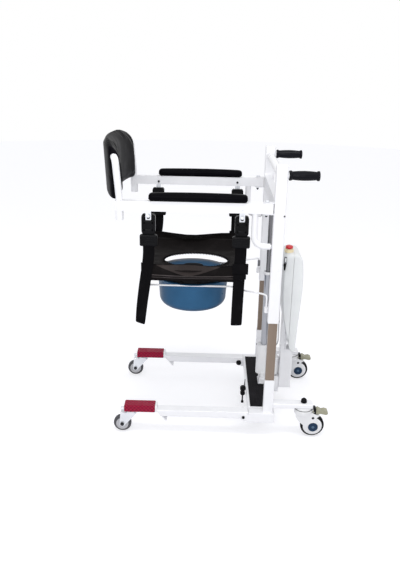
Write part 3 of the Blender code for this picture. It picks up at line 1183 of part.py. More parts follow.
def seat_sling():
    """Split seat: two side panels, a seat panel with an oval hole, four straps with tails."""
    x0, x1 = SLING_X

    def seat_place(u, v):
        x = x0 + 0.012 + (x1 - x0 - 0.024) * u
        y = (v * 2 - 1) * (SLING_SIDE_Y - 0.001)
        side = abs(v * 2 - 1)
        dish = 0.034 * max(0.0, (side - 0.60) / 0.40) ** 1.5
        return Vector((x, y, SEAT_Z - 0.003 + dish))

    seat = grid_sheet("seat_sling", 8, 10, seat_place, SEAT_T, BLACK_NYLON)
    hole = [((HOLE_X[0] + HOLE_X[1]) / 2 + (HOLE_X[1] - HOLE_X[0]) / 2 * math.cos(math.radians(a)),
             HOLE_HALF_Y * math.sin(math.radians(a))) for a in range(0, 360, 15)]
    opening = plate("seat_hole", [hole], 0.12, plan_plane(SEAT_Z), BLACK_NYLON)
    cut(seat, (opening,), CARRIAGE)
    pieces = []
    for side, s in SIDES:
        def panel_place(u, v, s=s):
            x = x0 + (x1 - x0) * u
            top = SLING_TOP - SLING_SAG * math.sin(math.pi * u)
            z = SLING_HEM + (top - SLING_HEM) * v
            fold = 0.006 * math.exp(-((x - PAN_X + 0.009) / 0.030) ** 2) * math.sin(math.pi * min(1.0, v * 1.3))
            bulge = 0.005 * math.sin(math.pi * v)
            return Vector((x, s * (SLING_SIDE_Y + bulge - fold), z))
        pieces.append(grid_sheet(side + "_panel", 14, 4, panel_place, 0.0045, BLACK_NYLON))
    for end, x, drift in (("front", BOLT_FRONT_X, -0.0370), ("rear", BOLT_REAR_X, -0.0060)):
        for side, s in SIDES:
            top_z = ADJUSTER_Z[0] - GAP
            tail = TAIL_BOTTOM if s < 0 else TAIL_BOTTOM + 0.025
            line = [(x, s * HANGER_Y, top_z), (x, s * HANGER_Y, top_z - 0.0287),
                    (x + drift * 0.12, s * 0.2440, SLING_TOP), (x + drift * 0.30, s * 0.2435, SLING_TOP - 0.045),
                    (x + drift * 0.50, s * 0.2420, SLING_HEM), (x + drift * 0.78, s * 0.2425, SLING_HEM - 0.080),
                    (x + drift, s * 0.2440, tail)]
            pieces.append(webbing(end + "_" + side + "_strap", line, WEB_W, WEB_T))
    join(seat, pieces, CARRIAGE)
    return carry(seat, CARRIAGE)


def centre_on_origin():
    """Shift the whole lift so that its box is centred on X = 0, with the floor at Z = 0."""
    bpy.context.view_layer.update()
    graph = bpy.context.evaluated_depsgraph_get()
    low, high = math.inf, -math.inf
    for made in parts.objects:
        if made.type == "MESH":
            for corner in made.evaluated_get(graph).bound_box:
                x = (made.matrix_world @ Vector(corner)).x
                low, high = min(low, x), max(high, x)
    LIFT.location.x = -(low + high) / 2
    print("lift shifted along X by", round(LIFT.location.x, 5))


arm_axes = {}
for side_name, sign in SIDES:
    leg(side_name, sign)
    leg_sleeve(side_name, sign)
    side_frame(side_name, sign)
    leg_knob(side_name, sign)
    guide_tube(side_name, sign)
    stem_cap(side_name, sign)
    front_caster(side_name, sign)
    rear_caster(side_name, sign)
    column(side_name, sign)
    grip(side_name, sign)
    arm_axes[side_name] = arm(side_name, sign)
    hinge_pin(side_name, sign)
    arm_pad(side_name, sign, arm_axes[side_name])
    tongue(side_name + "_front_tongue", BOLT_FRONT_X, sign, arm_axes[side_name])
    tongue(side_name + "_rear_tongue", BOLT_REAR_X, sign, arm_axes[side_name])
    buckle(side_name + "_front_buckle", BOLT_FRONT_X, sign)
    buckle(side_name + "_rear_buckle", BOLT_REAR_X, sign)
cross_member()
footplate()
foot_mat()
actuator()
rear_post()
control_box()
emergency_stop()
actuator_cable()
release_lever()
cross_bars()
actuator_rod()
pan_frame()
pan()
backrest(arm_axes["left"])
seat_sling()
centre_on_origin()
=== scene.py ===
# %% [markdown]
# A mobile patient lift, dressed for the camera.
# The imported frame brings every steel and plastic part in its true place. This lesson adds the
# camera, the light, the finishes and the soft pieces, one step at a time.

# %% Load the frame
from math import copysign, cos, exp, pi, radians, sin, sqrt, tan

import bmesh
import bpy
from mathutils import Matrix, Vector, noise


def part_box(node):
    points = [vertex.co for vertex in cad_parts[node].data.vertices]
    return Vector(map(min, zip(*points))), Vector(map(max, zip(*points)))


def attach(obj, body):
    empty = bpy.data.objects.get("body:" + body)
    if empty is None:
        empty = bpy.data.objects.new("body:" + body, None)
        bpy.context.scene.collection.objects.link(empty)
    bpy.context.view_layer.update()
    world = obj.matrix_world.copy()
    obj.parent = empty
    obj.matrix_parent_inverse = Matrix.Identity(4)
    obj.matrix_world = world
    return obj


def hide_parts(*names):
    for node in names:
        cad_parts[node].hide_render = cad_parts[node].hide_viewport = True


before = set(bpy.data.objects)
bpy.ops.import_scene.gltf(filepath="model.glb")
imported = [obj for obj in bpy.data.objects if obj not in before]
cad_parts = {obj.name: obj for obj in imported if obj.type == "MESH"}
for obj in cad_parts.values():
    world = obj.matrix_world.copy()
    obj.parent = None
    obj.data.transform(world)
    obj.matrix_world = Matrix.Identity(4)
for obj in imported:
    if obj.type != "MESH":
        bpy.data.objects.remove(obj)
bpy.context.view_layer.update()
MAST_X = (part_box("left_guide_tube")[0][0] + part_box("left_guide_tube")[1][0]) / 2
SIDES = (("left", -1.0), ("right", 1.0))

# %% [markdown]
# The photograph was taken from the side, a little above the seat. Its lens and place were worked
# out from the straight members: where parallel edges meet gives the direction, and the known
# sizes of casters and tubes give the distance. The camera is built from its three turning
# angles, as columns of a rotation matrix.

# %% Camera
CAMERA_PLACE = (MAST_X - 0.2693, -2.6973, 1.5493)
YAW, PITCH, ROLL = -0.0105, -0.3475, 0.0204
LENS_MM, SENSOR_MM = 59.43, 36.0
ahead = Vector((sin(YAW) * cos(PITCH), cos(YAW) * cos(PITCH), sin(PITCH)))
level = Vector((cos(YAW), -sin(YAW), 0.0))
above = level.cross(ahead)
right = level * cos(ROLL) + above * sin(ROLL)
up = above * cos(ROLL) - level * sin(ROLL)
lens = bpy.data.cameras.new("photo_camera")
lens.sensor_fit = "HORIZONTAL"
lens.sensor_width = SENSOR_MM
lens.lens = LENS_MM
camera = bpy.data.objects.new("photo_camera", lens)
camera.matrix_world = Matrix((right, up, -ahead)).transposed().to_4x4()
camera.location = CAMERA_PLACE
bpy.context.collection.objects.link(camera)
bpy.context.scene.camera = camera
print("camera", LENS_MM, "mm at", [round(value, 3) for value in CAMERA_PLACE])

# %% [markdown]
# The studio is nearly shadowless: a pale room lights the lift from everywhere, and three broad
# lamps give the tubes a bright and a quiet side. The room and the floor look white to the camera
# by their own colour, with the Light Path node, so no extra light falls on the object.

# %% Light and floor
ROOM_LIGHT, FLOOR_GLOW, FLOOR_RADIUS = 0.78, 0.5, 9.0
WHITE = (1.0, 1.0, 1.0, 1.0)
scene = bpy.context.scene
scene.view_settings.view_transform = "Standard"


def link(tree, source, target):
    tree.links.new(source, target)


def feed(tree, socket, value):
    """Set a socket to a value, or link it to another socket."""
    if isinstance(value, bpy.types.NodeSocket):
        link(tree, value, socket)
    else:
        socket.default_value = value


def set_sockets(node, **values):
    """Set sockets by name, where an underscore stands for a space."""
    for label, value in values.items():
        node.inputs[label.replace("_", " ")].default_value = value


def add_node(tree, kind, *sources):
    """A new node whose first sockets take the given values or links."""
    made = tree.nodes.new("ShaderNode" + kind)
    for socket, source in zip(made.inputs, sources):
        feed(tree, socket, source)
    return made


def calculate(tree, operation, *numbers):
    made = add_node(tree, "Math", *numbers)
    made.operation = operation
    return made.outputs[0]


def seen_directly(tree):
    """A value that is 1 for the camera, for mirrors and through glass."""
    path = add_node(tree, "LightPath")
    first = calculate(tree, "MAXIMUM", path.outputs["Is Camera Ray"], path.outputs["Is Glossy Ray"])
    return calculate(tree, "MAXIMUM", first, path.outputs["Is Transmission Ray"])


room = bpy.data.worlds.new("pale_room")
room.use_nodes = True
scene.world = room
room_tree = room.node_tree
room_light = room_tree.nodes["Background"]
set_sockets(room_light, Color=(0.97, 0.98, 1.0, 1.0), Strength=ROOM_LIGHT)
room_view = add_node(room_tree, "Background", WHITE, 1.0)
room_mix = add_node(room_tree, "MixShader", seen_directly(room_tree), room_light.outputs[0],
                    room_view.outputs[0])
link(room_tree, room_mix.outputs[0], room_tree.nodes["World Output"].inputs["Surface"])


def soft_lamp(name, place, aim, size, watts):
    lamp = bpy.data.lights.new(name, "AREA")
    lamp.shape = "RECTANGLE"
    lamp.size, lamp.size_y = size
    lamp.energy = watts
    holder = bpy.data.objects.new(name, lamp)
    turn = (Vector(aim) - Vector(place)).to_track_quat("-Z", "Y")
    holder.matrix_world = Matrix.Translation(place) @ turn.to_matrix().to_4x4()
    bpy.context.collection.objects.link(holder)


soft_lamp("front_bank", (-0.7, -3.6, 1.7), (0.0, 0.0, 0.6), (1.8, 1.6), 44.0)
soft_lamp("side_bank", (2.8, -1.8, 1.9), (0.1, 0.0, 0.7), (1.2, 1.8), 6.0)
soft_lamp("top_strip", (0.1, -0.9, 3.0), (0.0, 0.0, 0.7), (2.6, 0.3), 22.0)

ground = bmesh.new()
bmesh.ops.create_circle(ground, cap_ends=True, segments=64, radius=FLOOR_RADIUS)
ground_mesh = bpy.data.meshes.new("studio_floor")
ground.to_mesh(ground_mesh)
ground.free()
floor = bpy.data.objects.new("studio_floor", ground_mesh)
bpy.context.collection.objects.link(floor)
floor_material = bpy.data.materials.new("studio_floor")
floor_material.use_nodes = True
floor_tree = floor_material.node_tree
floor_shader = floor_tree.nodes["Principled BSDF"]
set_sockets(floor_shader, Base_Color=(0.6, 0.6, 0.63, 1.0), Roughness=0.9, Specular_IOR_Level=0.1)
floor_share = calculate(floor_tree, "MULTIPLY", seen_directly(floor_tree), FLOOR_GLOW)
floor_glow = add_node(floor_tree, "Emission", WHITE, floor_share)
floor_sum = add_node(floor_tree, "AddShader", floor_shader.outputs[0], floor_glow.outputs[0])
link(floor_tree, floor_sum.outputs[0], floor_tree.nodes["Material Output"].inputs["Surface"])
floor.data.materials.append(floor_material)
print("room light", ROOM_LIGHT, "and three lamps")

# %% [markdown]
# Several finishes share the same small effects: a fine grain, the faint patches that hands and
# cleaning leave, and a woven thread pattern. Each effect is a node group with named sockets, so
# that one material can have it coarse and another fine.

# %% Shared effects
def new_group(name, control, value, outputs):
    """A node group that takes a vector and one number."""
    group = bpy.data.node_groups.new(name, "ShaderNodeTree")
    for label, kind in (("Vector", "NodeSocketVector"), (control, "NodeSocketFloat")):
        socket = group.interface.new_socket(name=label, in_out="INPUT", socket_type=kind)
    socket.default_value = value
    for label in outputs:
        group.interface.new_socket(name=label, in_out="OUTPUT", socket_type="NodeSocketFloat")
    return group, group.nodes.new("NodeGroupInput"), group.nodes.new("NodeGroupOutput")


def parts_of(tree, vector):
    return add_node(tree, "SeparateXYZ", vector).outputs


def noise_of(tree, vector, scale, detail=3.0):
    made = add_node(tree, "TexNoise", vector)
    set_sockets(made, Detail=detail)
    feed(tree, made.inputs["Scale"], scale)
    return made.outputs["Fac"]


def stretch(tree, value, low, high, to_low=0.0, to_high=1.0):
    return add_node(tree, "MapRange", value, low, high, to_low, to_high).outputs["Result"]


GRAIN, grain_in, grain_out = new_group("fine_grain", "Scale", 600.0, ["Height", "Cloud"])
link(GRAIN, noise_of(GRAIN, grain_in.outputs["Vector"], grain_in.outputs["Scale"]),
     grain_out.inputs["Height"])
cloud_scale = calculate(GRAIN, "MULTIPLY", grain_in.outputs["Scale"], 0.02)
link(GRAIN, stretch(GRAIN, noise_of(GRAIN, grain_in.outputs["Vector"], cloud_scale), 0.35, 0.65),
     grain_out.inputs["Cloud"])

RUBBED, rubbed_in, rubbed_out = new_group("handled", "Reach", 9.0, ["Mask"])
patches = noise_of(RUBBED, rubbed_in.outputs["Vector"], rubbed_in.outputs["Reach"], 6.0)
link(RUBBED, stretch(RUBBED, patches, 0.52, 0.68), rubbed_out.inputs["Mask"])

WEAVE, weave_in, weave_out = new_group("woven", "Threads", 700.0, ["Height", "Crossing"])
weave_parts = parts_of(WEAVE, weave_in.outputs["Vector"])
waves = []
for axis in ("X", "Y"):
    turns = calculate(WEAVE, "MULTIPLY", weave_parts[axis], weave_in.outputs["Threads"])
    waves.append(calculate(WEAVE, "SINE", calculate(WEAVE, "MULTIPLY", turns, pi)))
crossing = stretch(WEAVE, calculate(WEAVE, "MULTIPLY", waves[0], waves[1]), -0.1, 0.1)
over = calculate(WEAVE, "MULTIPLY", calculate(WEAVE, "ABSOLUTE", waves[0]), crossing)
under = calculate(WEAVE, "MULTIPLY", calculate(WEAVE, "ABSOLUTE", waves[1]),
                  calculate(WEAVE, "SUBTRACT", 1.0, crossing))
link(WEAVE, calculate(WEAVE, "ADD", over, under), weave_out.inputs["Height"])
link(WEAVE, crossing, weave_out.inputs["Crossing"])

QUILT, quilt_in, quilt_out = new_group("quilted", "Lines", 90.0, ["Height"])
quilt_parts = parts_of(QUILT, quilt_in.outputs["Vector"])
girth = calculate(QUILT, "ADD", quilt_parts["Y"], quilt_parts["Z"])
ridges = []
for operation in ("ADD", "SUBTRACT"):
    across = calculate(QUILT, operation, quilt_parts["X"], girth)
    slant = calculate(QUILT, "MULTIPLY", across, quilt_in.outputs["Lines"])
    wave = calculate(QUILT, "SINE", calculate(QUILT, "MULTIPLY", slant, pi))
    ridges.append(calculate(QUILT, "POWER", calculate(QUILT, "ABSOLUTE", wave), 0.5))
link(QUILT, calculate(QUILT, "MINIMUM", ridges[0], ridges[1]), quilt_out.inputs["Height"])
print("node groups", [group.name for group in bpy.data.node_groups])

# %% [markdown]
# A finish starts from the colour, the gloss and the metal share that the photograph shows. The
# grain group then breaks the colour up a little, the handled patches make some places glossier,
# and the grain's height goes through a Bump node into the shader's normal.

# %% Recipe for moulded, painted and metal finishes
DRAWN_ALONG_Z = (1.0, 1.0, 0.05)


def new_finish(name, **values):
    """A new material with its tree, its shader and the coordinates of the object."""
    made = bpy.data.materials.new(name)
    made.use_nodes = True
    tree = made.node_tree
    shader = tree.nodes["Principled BSDF"]
    set_sockets(shader, **values)
    return made, tree, shader, add_node(tree, "TexCoord").outputs["Object"]


def place_group(tree, group, vector, **numbers):
    made = tree.nodes.new("ShaderNodeGroup")
    made.node_tree = group
    link(tree, vector, made.inputs["Vector"])
    set_sockets(made, **numbers)
    return made


def mix_colours(tree, share, first, second):
    made = add_node(tree, "Mix", share)
    made.data_type = "RGBA"
    for label, colour in (("A", first), ("B", second)):
        socket = [s for s in made.inputs if s.name == label and s.type == "RGBA"][0]
        feed(tree, socket, (*colour, 1.0) if isinstance(colour, tuple) else colour)
    return [s for s in made.outputs if s.type == "RGBA"][0]


def tinted(colour, share, lift=0.0):
    return tuple(min(1.0, channel * share + lift) for channel in colour)


def bump(tree, shader, height, distance, strength=1.0):
    made = add_node(tree, "Bump", strength, distance)
    link(tree, height, made.inputs["Height"])
    link(tree, made.outputs["Normal"], shader.inputs["Normal"])


def hard_finish(name, colour, roughness, metallic=0.0, grain=600.0, depth=0.00004, tint=0.06,
                coat=0.0, drawn=False, shine=0.5, edge=1.0):
    """Plastic, paint or metal with a fine grain, faintly handled patches and, for an edge below 1, painted
    shade towards the outline.
    """
    made, tree, shader, place = new_finish(name, Metallic=metallic, Coat_Weight=coat, Coat_Roughness=0.15,
                                           Specular_IOR_Level=shine)
    if drawn:
        mapping = add_node(tree, "Mapping", place)
        set_sockets(mapping, Scale=DRAWN_ALONG_Z)
        place = mapping.outputs["Vector"]
    fine = place_group(tree, GRAIN, place, Scale=grain)
    worn = place_group(tree, RUBBED, place, Reach=9.0)
    tone_and_edge_shade = mix_colours(tree, fine.outputs["Cloud"], tinted(colour, 1.0 - tint),
                          tinted(colour, 1.0 + tint * 0.5))
    # Painted shade: an edge below 1 darkens the colour where the surface turns away from the camera.
    if edge < 1.0:
        facing = add_node(tree, "LayerWeight", 0.35)
        tone_and_edge_shade = mix_colours(tree, facing.outputs["Facing"], tone_and_edge_shade, tinted(colour, edge))
    link(tree, tone_and_edge_shade, shader.inputs["Base Color"])
    gloss = stretch(tree, worn.outputs["Mask"], 0.0, 1.0, roughness, roughness * 0.8)
    link(tree, gloss, shader.inputs["Roughness"])
    bump(tree, shader, fine.outputs["Height"], depth)
    return made


POWDER_COAT = hard_finish("white_powder_coat", (0.87, 0.87, 0.89), 0.34, grain=1400.0, depth=0.00003,
                          tint=0.015, coat=0.15)
ZINC = hard_finish("zinc_plate", (0.8, 0.82, 0.86), 0.36, 0.55, grain=500.0, tint=0.1)
# The guide tubes are satin steel; their brown colour is a painted reflection of the surroundings.
GUIDE_TUBE_PAINTED_REFLECTION = hard_finish("bronzed_guide_tube", (0.235, 0.18, 0.14), 0.4, 0.45, grain=700.0,
                          tint=0.1, drawn=True)
ALUMINIUM = hard_finish("drawn_aluminium", (0.36, 0.37, 0.4), 0.32, 0.75, grain=700.0, tint=0.08,
                        drawn=True)
ROD_STEEL = hard_finish("dark_rod_steel", (0.17, 0.17, 0.18), 0.25, 0.7, grain=700.0, tint=0.1,
                        drawn=True)
GRIP_RUBBER = hard_finish("grip_rubber", (0.004, 0.004, 0.007), 0.34, grain=900.0, depth=0.00008,
                          tint=0.3, shine=0.1)
MAT_RUBBER = hard_finish("mat_rubber", (0.007, 0.006, 0.008), 0.62, grain=1100.0, depth=0.0001,
                         tint=0.3, shine=0.08)
BLACK_TYRE = hard_finish("black_tyre", (0.006, 0.006, 0.007), 0.52, grain=700.0, depth=0.00008,
                         tint=0.3, shine=0.1)
GREY_TYRE = hard_finish("grey_tyre", (0.055, 0.055, 0.062), 0.55, grain=700.0, depth=0.00006, tint=0.15)
PALE_HUB = hard_finish("pale_wheel_hub", (0.46, 0.46, 0.48), 0.4, grain=700.0, tint=0.06)
BLACK_NYLON_MOULDED = hard_finish("moulded_black_plastic", (0.0036, 0.0036, 0.0046), 0.34, grain=800.0,
                                  depth=0.00006, tint=0.3, shine=0.09)
PALE_SHELL = hard_finish("pale_shell", (0.8, 0.82, 0.82), 0.42, grain=1100.0, depth=0.00007, tint=0.02)
CASTER_SHELL = hard_finish("caster_shell", (0.8, 0.8, 0.81), 0.38, grain=900.0, tint=0.02)
HUB_DISC = hard_finish("navy_hub_disc", (0.014, 0.036, 0.076), 0.45, tint=0.1, shine=0.15)
HUB_HEART = hard_finish("blue_hub_heart", (0.08, 0.14, 0.22), 0.45, tint=0.1, shine=0.15)
CABLE_GREY = hard_finish("cable_grey", (0.56, 0.56, 0.57), 0.5, grain=800.0, tint=0.08)
PEDAL_OLIVE = hard_finish("olive_pedal", (0.33, 0.32, 0.23), 0.48, grain=700.0, depth=0.00006, tint=0.12)
# The pan's edge of 0.35 paints shade: its blue darkens towards the outline.
PAN_BLUE = hard_finish("pan_blue", (0.034, 0.125, 0.255), 0.34, grain=420.0, depth=0.00002, tint=0.12,
                       shine=0.12, edge=0.35)
STOP_RED = hard_finish("stop_red", (0.62, 0.012, 0.02), 0.3, grain=500.0, depth=0.00002, tint=0.05,
                       coat=0.3)
CREAM_RING = hard_finish("cream_ring", (0.82, 0.7, 0.45), 0.4, tint=0.05)
GREY_PLUG = hard_finish("grey_plug", (0.16, 0.165, 0.18), 0.45, grain=800.0, tint=0.12)
DARK_BOLT = hard_finish("blackened_bolt", (0.03, 0.03, 0.034), 0.35, 0.6, grain=500.0, tint=0.2)
print("hard finishes", len(bpy.data.materials))

# %% [markdown]
# Cloth and webbing have threads, from the woven group, which follow the surface by the piece's own
# UV map. Vinyl has fine pebbles, which a Voronoi texture gives, and the quilting is a net of
# slanting seams. Both of those read the object's coordinates.

# %% Recipes for vinyl and cloth
CLOTH_MAP = "cloth"


def vinyl_finish(name, colour, roughness):
    made, tree, shader, place = new_finish(name, Specular_IOR_Level=0.03)
    pebbles = add_node(tree, "TexVoronoi", place)
    pebbles.feature = "SMOOTH_F1"
    set_sockets(pebbles, Scale=900.0)
    folds = noise_of(tree, place, 38.0, 4.0)
    worn = place_group(tree, RUBBED, place, Reach=14.0)
    link(tree, mix_colours(tree, worn.outputs["Mask"], colour, tinted(colour, 1.9)),
         shader.inputs["Base Color"])
    link(tree, stretch(tree, worn.outputs["Mask"], 0.0, 1.0, roughness, roughness * 0.82),
         shader.inputs["Roughness"])
    height = calculate(tree, "ADD", calculate(tree, "MULTIPLY", pebbles.outputs["Distance"], 0.25), folds)
    bump(tree, shader, height, 0.0004, 0.4)
    return made


def cloth_finish(name, colour, threads, depth, sheen=0.04):
    made, tree, shader, place = new_finish(name, Sheen_Weight=sheen, Sheen_Roughness=0.4, Roughness=0.72,
                                           Specular_IOR_Level=0.06)
    own = add_node(tree, "UVMap")
    own.uv_map = CLOTH_MAP
    weave = place_group(tree, WEAVE, own.outputs["UV"], Threads=threads)
    worn = place_group(tree, RUBBED, place, Reach=16.0)
    # Painted sheen: where the threads of one direction lie on top, the colour is painted lighter.
    thread_sheen_colour = mix_colours(tree, weave.outputs["Crossing"], colour, tinted(colour, 1.5, 0.001))
    link(tree, mix_colours(tree, worn.outputs["Mask"], thread_sheen_colour, tinted(colour, 1.7, 0.002)),
         shader.inputs["Base Color"])
    bump(tree, shader, weave.outputs["Height"], depth)
    return made


def quilted_finish(name, colour):
    made, tree, shader, place = new_finish(name, Specular_IOR_Level=0.2)
    quilt = place_group(tree, QUILT, place, Lines=62.0)
    fine = place_group(tree, GRAIN, place, Scale=1500.0)
    # Painted shade: the colour darkens to a third in the quilting's sunken seams.
    quilt_seam_shade = stretch(tree, quilt.outputs["Height"], 0.4, 0.9)
    link(tree, mix_colours(tree, quilt_seam_shade, tinted(colour, 0.3), colour), shader.inputs["Base Color"])
    link(tree, stretch(tree, fine.outputs["Cloud"], 0.0, 1.0, 0.42, 0.56), shader.inputs["Roughness"])
    height = calculate(tree, "ADD", quilt.outputs["Height"],
                       calculate(tree, "MULTIPLY", fine.outputs["Height"], 0.08))
    bump(tree, shader, height, 0.003, 0.9)
    return made


VINYL = vinyl_finish("black_vinyl", (0.0016, 0.0014, 0.0026), 0.4)
SLING_CLOTH = cloth_finish("black_nylon", (0.005, 0.004, 0.004), 900.0, 0.00022)
SLING_WEBBING = cloth_finish("black_webbing", (0.0016, 0.0014, 0.002), 620.0, 0.00035, 0.01)
# Painted sheen: this cloth is several times lighter than the black nylon, for the light on the upturned fold.
SLING_FOLD_SHEEN = cloth_finish("sling_lining", (0.026, 0.021, 0.02), 900.0, 0.00022)
SLING_PIPING = cloth_finish("sling_piping", (0.042, 0.036, 0.036), 900.0, 0.00018, 0.06)
CRIMSON_QUILT = quilted_finish("crimson_sleeve", (0.43, 0.006, 0.05))
print("soft finishes done")

# %% [markdown]
# Every CAD node that stays in view takes one of these finishes. Nodes whose names end alike are
# made of the same stuff, so a short table of name endings is enough.

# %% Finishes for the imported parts
ENDINGS = [
    ("front_wheel", GREY_TYRE), ("rear_wheel", BLACK_TYRE), ("front_fork", ZINC),
    ("rear_caster_housing", CASTER_SHELL), ("brake_pedal", PEDAL_OLIVE), ("guide_tube", GUIDE_TUBE_PAINTED_REFLECTION),
    ("stem_cap", BLACK_NYLON_MOULDED), ("leg_knob", BLACK_NYLON_MOULDED), ("buckle", BLACK_NYLON_MOULDED),
    ("tongue", ZINC), ("hinge_pin", ZINC), ("grip", GRIP_RUBBER), ("foot_mat", MAT_RUBBER),
    ("actuator_tube", ALUMINIUM), ("actuator_rod", ROD_STEEL), ("actuator_housing", CASTER_SHELL),
    ("control_box", PALE_SHELL), ("battery_pack", PALE_SHELL), ("emergency_stop", STOP_RED),
    ("release_lever", BLACK_NYLON_MOULDED), ("commode_pan", PAN_BLUE), ("pan_lid", PAN_BLUE),
    ("actuator_cable", CABLE_GREY), ("arm_pad", VINYL), ("backrest_pad", VINYL),
    ("seat_sling", SLING_CLOTH), ("leg_sleeve", CRIMSON_QUILT), ("", POWDER_COAT),
]
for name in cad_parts:
    packed = bpy.data.objects[name]
    material = next(finish for ending, finish in ENDINGS if name.endswith(ending))
    packed.data.materials.clear()
    packed.data.materials.append(material)
print("finished", len(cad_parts), "packed parts")

# %% [markdown]
# New pieces all end the same way: doubles merged, faces turned outwards, smooth shading with
# crisp corners, a finish, and a body of the lift to ride on. One helper does that. Others make
# the shapes that come again and again: a turned part, a rounded block, a swept tube and a sheet.
# Turned profiles are in millimetres, because they are read like a workshop drawing; places are in
# metres.

# %% Helpers for new pieces
MERGED = 0.00001
SLING = ("carriage", "black_nylon")


def settle(name, bm, material, body, slot, angle=40.0, replaces=()):
    bmesh.ops.remove_doubles(bm, verts=bm.verts, dist=MERGED)
    bmesh.ops.recalc_face_normals(bm, faces=bm.faces)
    mesh = bpy.data.meshes.new(name)
    bm.to_mesh(mesh)
    bm.free()
    mesh.materials.append(material)
    mesh.shade_smooth()
    mesh.set_sharp_from_angle(angle=radians(angle))
    made = bpy.data.objects.new(name, mesh)
    bpy.context.collection.objects.link(made)
    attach(made, body)
    if replaces:
        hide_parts(*replaces)
    return made


def towards(axis):
    return Vector(axis).to_track_quat("Z", "Y").to_matrix().to_4x4()


def lathe(bm, profile, centre, axis, steps):
    """Spin (radius, height) points in millimetres about an axis and set them at a centre."""
    before = set(bm.verts)
    verts = [bm.verts.new((radius / 1000, 0.0, height / 1000)) for radius, height in profile]
    edges = [bm.edges.new(pair) for pair in zip(verts[:-1], verts[1:])]
    bmesh.ops.spin(bm, geom=verts + edges, axis=(0, 0, 1), cent=(0, 0, 0), steps=steps,
                   angle=2 * pi, use_merge=True)
    made = [vert for vert in bm.verts if vert not in before]
    bmesh.ops.transform(bm, verts=made, matrix=Matrix.Translation(centre) @ towards(axis))
    bmesh.ops.remove_doubles(bm, verts=made, dist=MERGED)


def round_edges(bm, edges, offset, segments):
    bmesh.ops.bevel(bm, geom=list(edges), offset=offset, segments=segments, affect="EDGES",
                    profile=0.5, material=-1)


def bar(bm, start, end, radius, sides, edge):
    """A many-sided bar between two points with softened rims."""
    start, end = Vector(start), Vector(end)
    made = bmesh.ops.create_cone(bm, cap_ends=True, segments=sides, radius1=radius, radius2=radius,
                                 depth=(end - start).length,
                                 matrix=Matrix.Translation((start + end) / 2) @ towards(end - start))
    rims = {e for v in made["verts"] for e in v.link_edges
            if any(len(f.verts) > 4 for f in e.link_faces)}
    round_edges(bm, rims, edge, 2)


def chunk(bm, low, high, edge, segments=2):
    """A box between two corners with rounded edges."""
    size = [b - a for a, b in zip(low, high)]
    middle = [(a + b) / 2 for a, b in zip(low, high)]
    shape = Matrix.Translation(middle) @ Matrix.Diagonal((*size, 1.0))
    made = bmesh.ops.create_cube(bm, size=1.0, matrix=shape)
    round_edges(bm, {e for v in made["verts"] for e in v.link_edges}, edge, segments)


def edges_within(verts):
    return [e for e in {e for v in verts for e in v.link_edges} if all(v in verts for v in e.verts)]


def sweep(bm, points, radius, sides):
    """A round tube through points, drawn out ring by ring."""
    points = [Vector(p) for p in points]
    lean = (points[1] - points[0]).normalized()
    ring = bmesh.ops.create_circle(bm, segments=sides, radius=radius,
                                   matrix=Matrix.Translation(points[0]) @ towards(lean))["verts"]
    first = list(ring)
    for i in range(1, len(points)):
        after = points[min(i + 1, len(points) - 1)] - points[i - 1]
        grown = bmesh.ops.extrude_edge_only(bm, edges=edges_within(ring))
        ring = [g for g in grown["geom"] if isinstance(g, bmesh.types.BMVert)]
        turn = lean.rotation_difference(after.normalized()).to_matrix().to_4x4()
        move = Matrix.Translation(points[i]) @ turn @ Matrix.Translation(-points[i - 1])
        bmesh.ops.transform(bm, verts=ring, matrix=move)
        lean = after.normalized()
    for rim in (first, ring):
        bmesh.ops.holes_fill(bm, edges=edges_within(rim), sides=0)


def curve_spot(a, b, c, d, t):
    """A place between b and c on the smooth curve through a, b, c and d."""
    return 0.5 * ((2 * b) + (c - a) * t + (2 * a - 5 * b + 4 * c - d) * t * t
                  + (3 * b - a - 3 * c + d) * t ** 3)


def smooth_path(corners, steps=6):
    """Points of a smooth curve through the corners."""
    corners = [Vector(c) for c in corners]
    padded = [2 * corners[0] - corners[1]] + corners + [2 * corners[-1] - corners[-2]]
    points = []
    for near in zip(padded[:-3], padded[1:-2], padded[2:-1], padded[3:]):
        points += [curve_spot(*near, i / steps) for i in range(steps)]
    return points + [corners[-1]]


def subdivide_once(made):
    soft = made.modifiers.new("soft", "SUBSURF")
    soft.levels = 1
    soft.render_levels = 1


def sheet_grid(name, across, along, place, size, material, body, slot, thickness, softened=True):
    """A sheet of cloth: a grid bent by place(u, v), with its own UV map in metres."""
    bm = bmesh.new()
    bmesh.ops.create_grid(bm, x_segments=across, y_segments=along, size=0.5)
    layer = bm.loops.layers.uv.new(CLOTH_MAP)
    for face in bm.faces:
        for loop in face.loops:
            loop[layer].uv = ((loop.vert.co.x + 0.5) * size[0], (loop.vert.co.y + 0.5) * size[1])
    for vert in bm.verts:
        vert.co = place(vert.co.x + 0.5, vert.co.y + 0.5)
    made = settle(name, bm, material, body, slot, 80.0)
    wall = made.modifiers.new("wall", "SOLIDIFY")
    wall.thickness = thickness
    wall.offset = 0.0
    if softened:
        subdivide_once(made)
    return made


DRAWN_MAST_X = 0.2105


def at(x, y, z):
    """A place taken from the drawing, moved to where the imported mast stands."""
    return Vector((MAST_X - DRAWN_MAST_X + x, y, z))


def box_of(name):
    """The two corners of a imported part's box."""
    return [Vector(corner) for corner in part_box(name)]


def closed_curve(corners, count):
    """Points spread along a smooth closed curve through the corners."""
    total = len(corners)
    spots = []
    for i in range(count):
        k, t = divmod(i * total / count, 1.0)
        a, b, c, d = [Vector(corners[(int(k) + j) % total]) for j in (-1, 0, 1, 2)]
        spots.append(curve_spot(a, b, c, d, t))
    return spots


